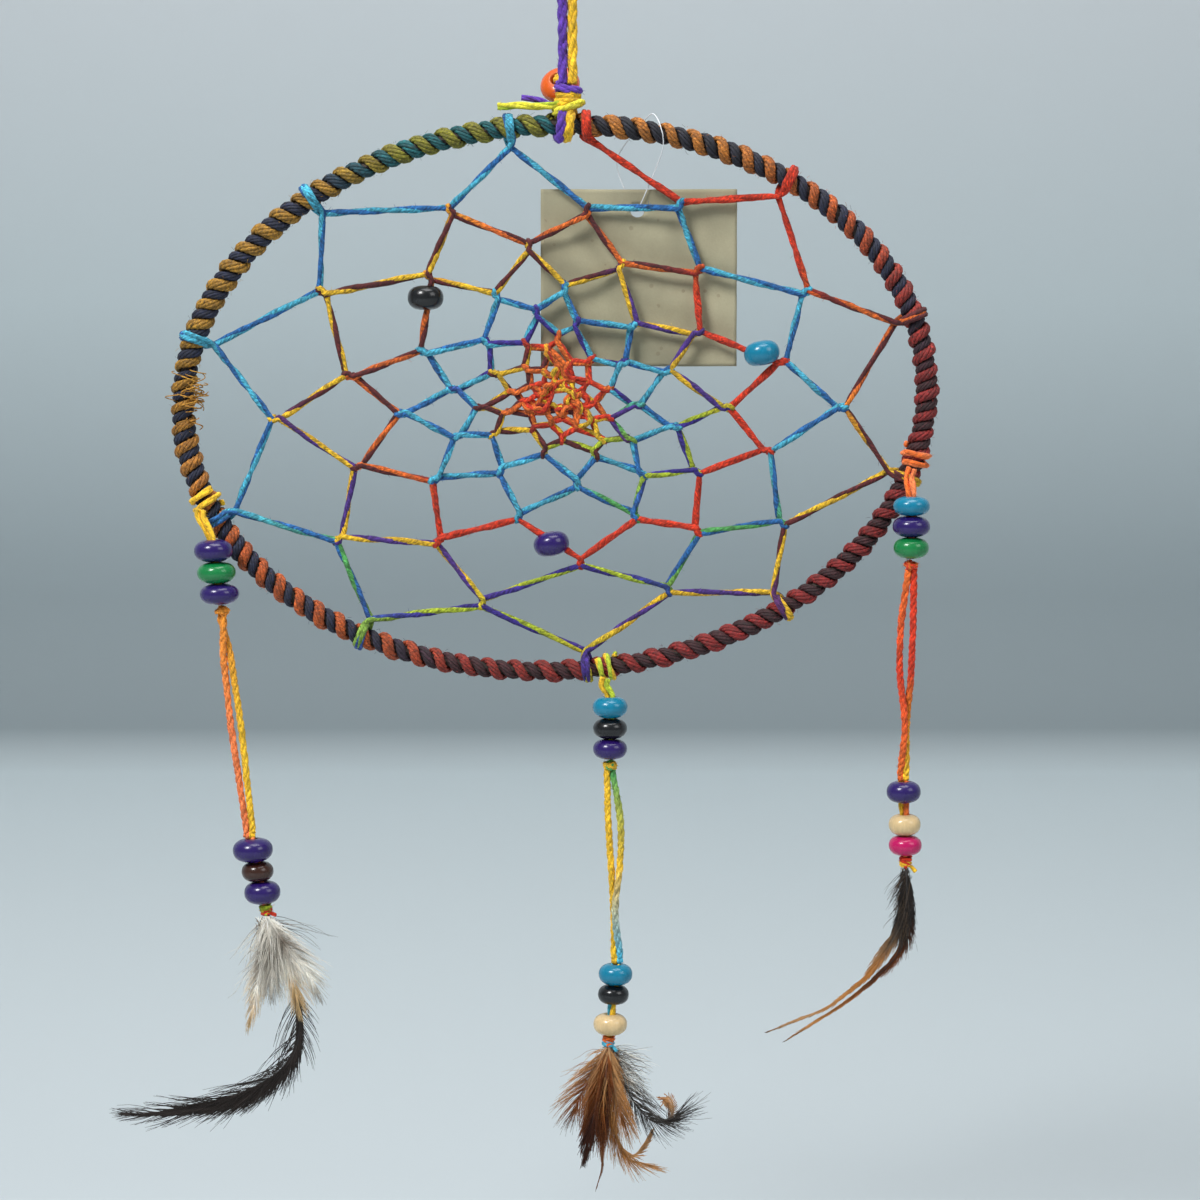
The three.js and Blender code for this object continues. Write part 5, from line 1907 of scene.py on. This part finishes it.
@dataclass
class Hanger:
    """The hanging cord, its hitch and knot on the hoop, a bead behind, and loose tails."""

    cord: float = 2.3
    eye_width: float = 11.8
    eye_length: float = 20.0
    knot: float = 6.0
    knot_rise: float = 8.0
    gap: float = 0.3
    bead_spot: Spot = (-2.2, 7.9, 3.6)
    bead_nod: float = 54.0
    bead_yaw: float = 18.0
    bead_size: Spot = (11.4, 6.3, 4.2)
    loop_fill: float = 1.25
    turn_yarn: float = 3.0
    bead_yarn: float = 3.0
    knot_yarn: float = 2.5
    tail_yarn: float = 2.3
    short_yarn: float = 1.9
    tail_route: Route = (
        (-2.0, -1.4, -1.9), (-4.5, -1.2, -2.8), (-9, -1, -2.9), (-14, -1, -2.8), (-19.7, -1, -3.0),
    )
    short_route: Route = (
        (-2.4, 0.9, -3.0), (-6, 1.3, -1.9), (-9.5, 1.2, -0.8), (-13, 1.0, -0.5),
    )

    @property
    def bead_axis(self) -> Array:
        """The way the bore of the bead behind points."""
        nod, yaw = math.radians(self.bead_nod), math.radians(self.bead_yaw)
        return np.array([-math.sin(nod) * math.sin(yaw), -math.sin(nod) * math.cos(yaw), math.cos(nod)])

    @property
    def knot_middle(self) -> Array:
        """The knot's middle, above the hoop's tube."""
        return np.array([0, 0, -HOOP.hang_length + self.knot_rise])

    @property
    def bead_middle(self) -> Array:
        """The middle of the bead behind."""
        return self.knot_middle + np.array(self.bead_spot)

    def loop_route(self) -> Array:
        """The hanging cord's route: up one side, round the eye and down the other.

        Returns:
            Its points.
        """
        foot = self.knot_middle[2] + self.knot / 2 + self.gap
        side = self.cord / 2 + self.gap / 2 + 0.05
        top = self.cord / 2
        eye = (self.eye_width - self.cord) / 2
        end = -self.eye_length
        half = [
            (side, foot), (side, (2 * foot + end) / 3), (side, (foot + 2 * end) / 3),
            (side + 0.15, end - 2), (eye * 0.55, end * 0.7), (eye * 0.88, end * 0.4),
            (eye, top - eye), (eye * 0.71, top - eye * 0.29),
        ]
        left = [(-x, 0, z) for x, z in half]
        right = [(x, 0, z) for x, z in reversed(half)]
        return np.array([*left, (0, 0, top), *right], float)

    def build(self, kit: Kit) -> None:
        """Makes the hanger's pieces.

        Args:
            kit: the finishes and the frame.
        """
        self._loop(kit)
        self._hitch(kit)
        self._tail(kit)
        bead = Bead(*self.bead_size, Lacquer.ORANGE)
        piece = bead.turn("hanger_bead_turned", self.bead_middle, self.bead_axis, kit.beads)
        kit.add(piece, "hanger_knot", "hanger_bead")

    def _loop(self, kit: Kit) -> None:
        """The hanging cord: violet on one side, yellow on the other.

        Args:
            kit: the finishes and the frame.
        """
        route = self.loop_route()
        line, share = smooth_route(route, 0.8, np.linspace(0, 1, len(route)))
        turn = np.clip((share - 0.5) / 0.08 + 0.5, 0, 1)[:, None]
        dye = Dye.VIOLET.light * (1 - turn) + Dye.YELLOW.light * turn
        bundle = FibreBundle()
        yarn = Yarn(self.cord * self.loop_fill, turn_length=17, plies=3, fuzz=1.6, seed=3)
        yarn.spin(bundle, line, (dye, dye * 0.92, dye * 0.84))
        piece = kit.knit(bundle, "hanger", "hanging_loop")
        self.cord * MM

    def _hitch(self, kit: Kit) -> None:
        """The turns round the hoop, the knot on top and the short cord through the bead.

        Args:
            kit: the finishes and the frame.
        """
        bundle = FibreBundle()
        violet, yellow, olive = Dye.VIOLET.light, Dye.YELLOW.light, Dye.LEMON.light * 0.85
        radius = float(HOOP.thickness(HOOP.hanger_angle)) + 0.6
        thick = Yarn(self.turn_yarn, turn_length=15, plies=3, fuzz=1.0, seed=4)
        turn = helix_round(HOOP.hanger_angle, radius, 1.0, -3.0, -1.5 * math.pi)
        for dye, shift in ((violet, 1.7), (yellow, -0.5)):
            thick.lay(bundle, turn + HOOP.along(HOOP.hanger_angle) * shift, (dye, dye * 0.9, dye * 0.82))
        yarn = Yarn(self.knot_yarn, turn_length=15, plies=3, fuzz=1.2, seed=5)
        knot = self.knot_middle
        for dye, level, wide, tilt, turns in (
            (olive, -3.2, 3.6, 0.34, 1.2), (yellow, -1.4, 2.8, 0.05, 1.2),
            (yellow, 0.3, 2.6, -0.1, 1.1), (violet, 1.9, 3.0, -0.25, 1.1),
        ):
            angle = np.linspace(0, 2 * np.pi * turns, 26) + 2.2
            ring = round_ways(angle, np.array([wide, 0, tilt * wide]), BACK * wide * 0.8)
            rise = np.linspace(-0.5, 0.5, len(angle))[:, None] * (0, 0, 1.3)
            yarn.lay(bundle, knot + (0.2, 0, level) + ring + rise, (dye, dye * 0.9, dye * 0.82))
        middle = self.bead_middle
        foot, end = middle - self.bead_axis * 4.2, middle + self.bead_axis * 3.2
        route = [knot + (0.3, 0.5, -0.6), (knot + foot) / 2 - (0, 0, 1.5), foot, middle, end]
        route += [end + (1.2, -1.2, -0.6), knot + (-0.4, 2.0, 2.6)]
        short = Yarn(self.bead_yarn, turn_length=12, fuzz=0.5, seed=6)
        short.lay(bundle, np.array(route), (yellow, yellow * 0.88))
        kit.knit(bundle, "hanger_knot", "hanger_hitch")

    def _tail(self, kit: Kit) -> None:
        """The cord's two cut ends, one long and one short.

        Args:
            kit: the finishes and the frame.
        """
        bundle = FibreBundle()
        lemon = Dye.LEMON.light
        long = Yarn(self.tail_yarn, turn_length=30, plies=3, fuzz=0.9, seed=7)
        route = self.knot_middle + np.array(self.tail_route)
        long.lay(bundle, route, (lemon, lemon * 0.9, Dye.YELLOW_GREEN.light))
        short = Yarn(self.short_yarn, turn_length=14, plies=3, fuzz=0.9, seed=8)
        short.lay(bundle, self.knot_middle + np.array(self.short_route), (Dye.VIOLET.light,))
        kit.knit(bundle, "hanger_knot", "hanger_tail")


@dataclass(frozen=True)
class Card:
    """The bare paper card and the clear thread that it hangs by."""

    angle: float = 74.2
    width: float = 55.7
    height: float = 50.0
    thickness: float = 0.5
    middle: Spot = (-1, 3.6, -41.4)
    hole: float = 4.0
    hole_spot: Spot = (-1.45, 3.6, -22.4)
    thread: float = 0.16
    wave: float = 0.36
    route: Route = (
        (-1.45, 2.9, -22.7), (1.35, 2.2, -16.4), (3.85, 1.6, -10.4), (5.75, -2.5, -4.7),
        (5.35, -4.1, -0.4), (2.85, 0, 4.6), (-1.15, 4.1, 0.6), (-7.15, 4.6, -8.4), (-2.15, 4.4, -22.7),
    )

    def build(self, kit: Kit) -> None:
        """Makes the card and its thread.

        Args:
            kit: the finishes and the frame.
        """
        anchor = HOOP.middle(self.angle)
        kit.add(self._sheet(anchor, kit), "card", "paper_card")
        bundle = FibreBundle(2)
        line, _ = smooth_route(anchor + np.array(self.route), 0.7)
        bundle.add(line, self.thread, np.array(NYLON))
        kit.add(bundle.weave("card_thread_nylon", kit.nylon), "card", "card_thread")

    def _sheet(self, anchor: Array, kit: Kit) -> Piece:
        """The sheet: a fine grid with soft waves, a punched hole and a little thickness.

        Args:
            anchor: where the card's thread meets the hoop.
            kit: the finishes and the frame.

        Returns:
            The sheet.
        """
        work = bmesh.new()
        bmesh.ops.create_grid(work, x_segments=56, y_segments=50, size=0.5)
        bmesh.ops.scale(work, vec=(self.width, self.height, 1), verts=work.verts)
        bmesh.ops.rotate(work, matrix=Matrix.Rotation(math.pi / 2, 3, "X"), verts=work.verts)
        bmesh.ops.translate(work, vec=Vector(anchor + np.array(self.middle)), verts=work.verts)
        hole = Vector(anchor + np.array(self.hole_spot))
        radius = self.hole / 2
        punched = [v for v in work.verts if math.hypot(v.co.x - hole.x, v.co.z - hole.z) < radius - 0.3]
        bmesh.ops.delete(work, geom=punched, context="VERTS")
        for vert in work.verts:
            x, z = vert.co.x - hole.x, vert.co.z - hole.z
            away = math.hypot(x, z)
            if away < radius + 0.8:
                vert.co.x = hole.x + x / away * radius
                vert.co.z = hole.z + z / away * radius
            wave = math.sin((vert.co.z + 0.35 * vert.co.x) * 0.42) + 0.5 * math.sin(vert.co.x * 0.23 + 1)
            vert.co.y += self.wave * wave
        bmesh.ops.recalc_face_normals(work, faces=work.faces)
        bmesh.ops.solidify(work, geom=work.faces[:], thickness=self.thickness)
        bmesh.ops.scale(work, vec=(MM, MM, MM), verts=work.verts)
        return finish_mesh(work, "paper_card_sheet", kit.paper)


@dataclass(frozen=True)
class Studio:
    """The camera, the lamps and the pale sweep behind the object, in metres."""

    distance: float = 0.9
    elevation: float = 5.0
    view_width: float = 0.34286
    target: Spot = (0.00914, 0.0, -0.1906)
    sensor: float = 36.0
    floor: float = -0.42
    wall: float = 1.4
    fillet: float = 0.14
    shown: float = 0.56
    near: float = 0.42
    half_width: float = 14.0
    front: float = -12.0
    wall_height: float = 9.0
    # The middle and the starting distance of the sweep's painted glow, which stands in for lamp light far
    # from the object.
    lit: Spot = (0.0, 0.7, 0.0)
    painted_glow_start: float = 0.97
    air: Spot = (0.95, 0.975, 1.0)
    air_strength: float = 0.16
    lamps: tuple[tuple[str, Spot, float, float], ...] = (
        ("key", (-0.75, -0.9, 0.95), 0.5, 24.0),
        ("fill", (1.0, -0.8, 0.6), 0.7, 5.0),
        ("crown", (0.1, -0.1, 1.1), 0.8, 11.0),
    )
    # Sweep colours by level along its section, painted light and shade: a light band where the floor
    # turns up, a darker wall just above it, paler again higher up.
    shades: tuple[tuple[float, Rgb], ...] = (
        (0.07, (192, 201, 205)), (0.385, (220, 232, 236)), (0.43, (154, 166, 171)),
        (0.54, (154, 166, 171)), (0.76, (194, 206, 210)), (1.0, (212, 219, 223)),
    )

    def build(self) -> None:
        """Sets up the camera, the lamps, the world and the sweep."""
        self._camera()
        self._sweep()
        for lamp in self.lamps:
            self._lamp(*lamp)
        self._air()
        bpy.context.scene.view_settings.view_transform = "Standard"

    def _air(self) -> None:
        """Makes the dim world light, which shows as pale as the sweep past its edges."""
        world = bpy.data.worlds.new("studio_air")
        world.use_nodes = True
        nodes = Nodes(world.node_tree)
        light = nodes.add("Background", Color=(*self.air, 1.0), Strength=self.air_strength)
        shown = nodes.add("Background", Color=opaque(HAZE))
        mix = nodes.add("MixShader", i0=nodes.seen(), i1=light, i2=shown)
        nodes.tree.links.new(mix.socket, nodes.tree.nodes["World Output"].inputs["Surface"])
        bpy.context.scene.world = world

    def _camera(self) -> None:
        """Puts the camera at the photograph's viewing angle."""
        data = bpy.data.cameras.new("camera")
        data.sensor_width = self.sensor
        data.lens = self.sensor * self.distance / self.view_width
        camera = bpy.data.objects.new("camera", data)
        lift = math.radians(self.elevation)
        away = Vector((0, -math.cos(lift), math.sin(lift))) * self.distance
        camera.location = Vector(self.target) + away
        camera.rotation_euler = (math.pi / 2 - lift, 0, 0)
        bpy.context.scene.collection.objects.link(camera)
        bpy.context.scene.camera = camera

    def _lamp(self, name: str, spot: Spot, size: float, watts: float) -> None:
        """Adds a soft square lamp that faces the object.

        Args:
            name: the lamp's name.
            spot: where it hangs.
            size: the length of its side.
            watts: its power.
        """
        data = bpy.data.lights.new(name, "AREA")
        data.size = size
        data.energy = watts
        lamp = bpy.data.objects.new(name, data)
        lamp.location = spot
        lamp.rotation_euler = (Vector(self.target) - Vector(spot)).to_track_quat("-Z", "Y").to_euler()
        bpy.context.scene.collection.objects.link(lamp)

    def _sweep(self) -> None:
        """Makes the floor that sweeps up into a wall."""
        work = bmesh.new()
        inner, upper = self.wall - self.fillet, self.floor + self.fillet
        arc = [
            (inner + self.fillet * math.sin(a), upper - self.fillet * math.cos(a))
            for a in np.linspace(0, math.pi / 2, 16)
        ]
        section = [(self.front, self.floor), *arc, (self.wall, self.floor + self.wall_height)]
        line = [work.verts.new((-self.half_width, y, z)) for y, z in section]
        edges = [work.edges.new(pair) for pair in zip(line, line[1:])]
        made = bmesh.ops.extrude_edge_only(work, edges=edges)
        moved = [part for part in made["geom"] if isinstance(part, bmesh.types.BMVert)]
        bmesh.ops.translate(work, vec=(2 * self.half_width, 0, 0), verts=moved)
        finish_mesh(work, "sweep", self._paint())

    def _paint(self) -> Material:
        """Makes the sweep's finish: painted light and shade in bands by height, and a painted glow that
        makes it as pale as the air far from the object.

        Returns:
            The material.
        """
        look = Surface("pale_sweep", Roughness=0.9, Specular_IOR_Level=0.1, Emission_Strength=1.0)
        place = look.add("TexCoord", "Object")
        height = look.add("SeparateXYZ", "Z", Vector=place)
        depth = look.add("SeparateXYZ", "Y", Vector=place)
        run = (height - self.floor) + 0.3 * (depth - self.wall)
        level = (run + self.near) * (1 / (self.near + self.shown))
        # Painted light and shade: the floor brightens towards a light band at the fillet's foot, the wall
        # just above is darker, then paler again.
        painted_light_bands = [(place, linear(shade)) for place, shade in self.shades]
        look.feed("Base Color", look.add("ValToRGB", "Color", {"stops": painted_light_bands}, Fac=level))
        # Painted glow: from a set distance round the lit spot outwards the sweep emits more and more, up
        # to the HAZE grey, seen only on camera, gloss and glass rays; it stands in for the lamps' light,
        # which falls off far from the object.
        away = look.add("VectorMath", "Value", {"operation": "DISTANCE"}, i0=place, i1=self.lit)
        dark = (0.0, 0.0, 0.0)
        rise = [(0.0, dark), (1.0, linear(HAZE))]
        share = (away - self.painted_glow_start) * (1 / self.painted_glow_start)
        painted_glow = look.add("ValToRGB", "Color", {"stops": rise}, Fac=share)
        look.feed("Emission Color", look.blend(look.seen(), (*dark, 1.0), painted_glow))
        return look.material


def make_kit(record: dict) -> Kit:
    """Makes the finishes.

    Args:
        record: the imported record, which names each node's material slot.
    """
    slots = {part["node"]: part["material_slot"] for part in record["subparts"]}
    return Kit(
        slots=slots,
        yarn=YarnFinish("space_dyed_yarn").make(),
        # The cords' finish is a lighter copy of the web yarn's finish. It keeps the same dyes at 0.95
        # instead of 0.6, as painted light for the strong light on the hanging cord and the pendants'
        # cords.
        cord=YarnFinish("bright_yarn", depth=0.95, streak=0.6, sheen=0.1).make(),
        coil=YarnFinish("winding_cord", depth=0.85, sheen=0.02, roughness=0.7).make(),
        feather=FeatherFinish().make(),
        paper=PaperFinish().make(),
        nylon=nylon_finish(),
        beads={lacquer: BeadFinish(lacquer).make() for lacquer in Lacquer},
    )


def dress_core(frame: dict) -> None:
    """Gives the hoop's wire its finish."""
    core = frame["nodes"]["hoop_core"]
    core.data.materials.clear()
    core.data.materials.append(wire_finish())


def main() -> None:
    """Builds the dressed dreamcatcher around the frame."""
    logging.basicConfig(level=logging.INFO, format="%(name)s %(message)s")
    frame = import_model()
    Studio().build()
    kit = make_kit(frame["record"])
    Hanger().build(kit)
    for pendant in PENDANTS:
        pendant.build(kit)
    winding = Winding()
    kit.add(winding.wind(False, kit.coil), "hoop", "hoop_wrap_dark")
    kit.add(winding.wind(True, kit.coil), "hoop", "hoop_wrap_bright")
    web = Web()
    kit.add(web.weave(kit.yarn), "hoop", "web_thread")
    string_web_beads(kit, web)
    Card().build(kit)
    dress_core(frame)


if __name__ == "__main__":
    main()
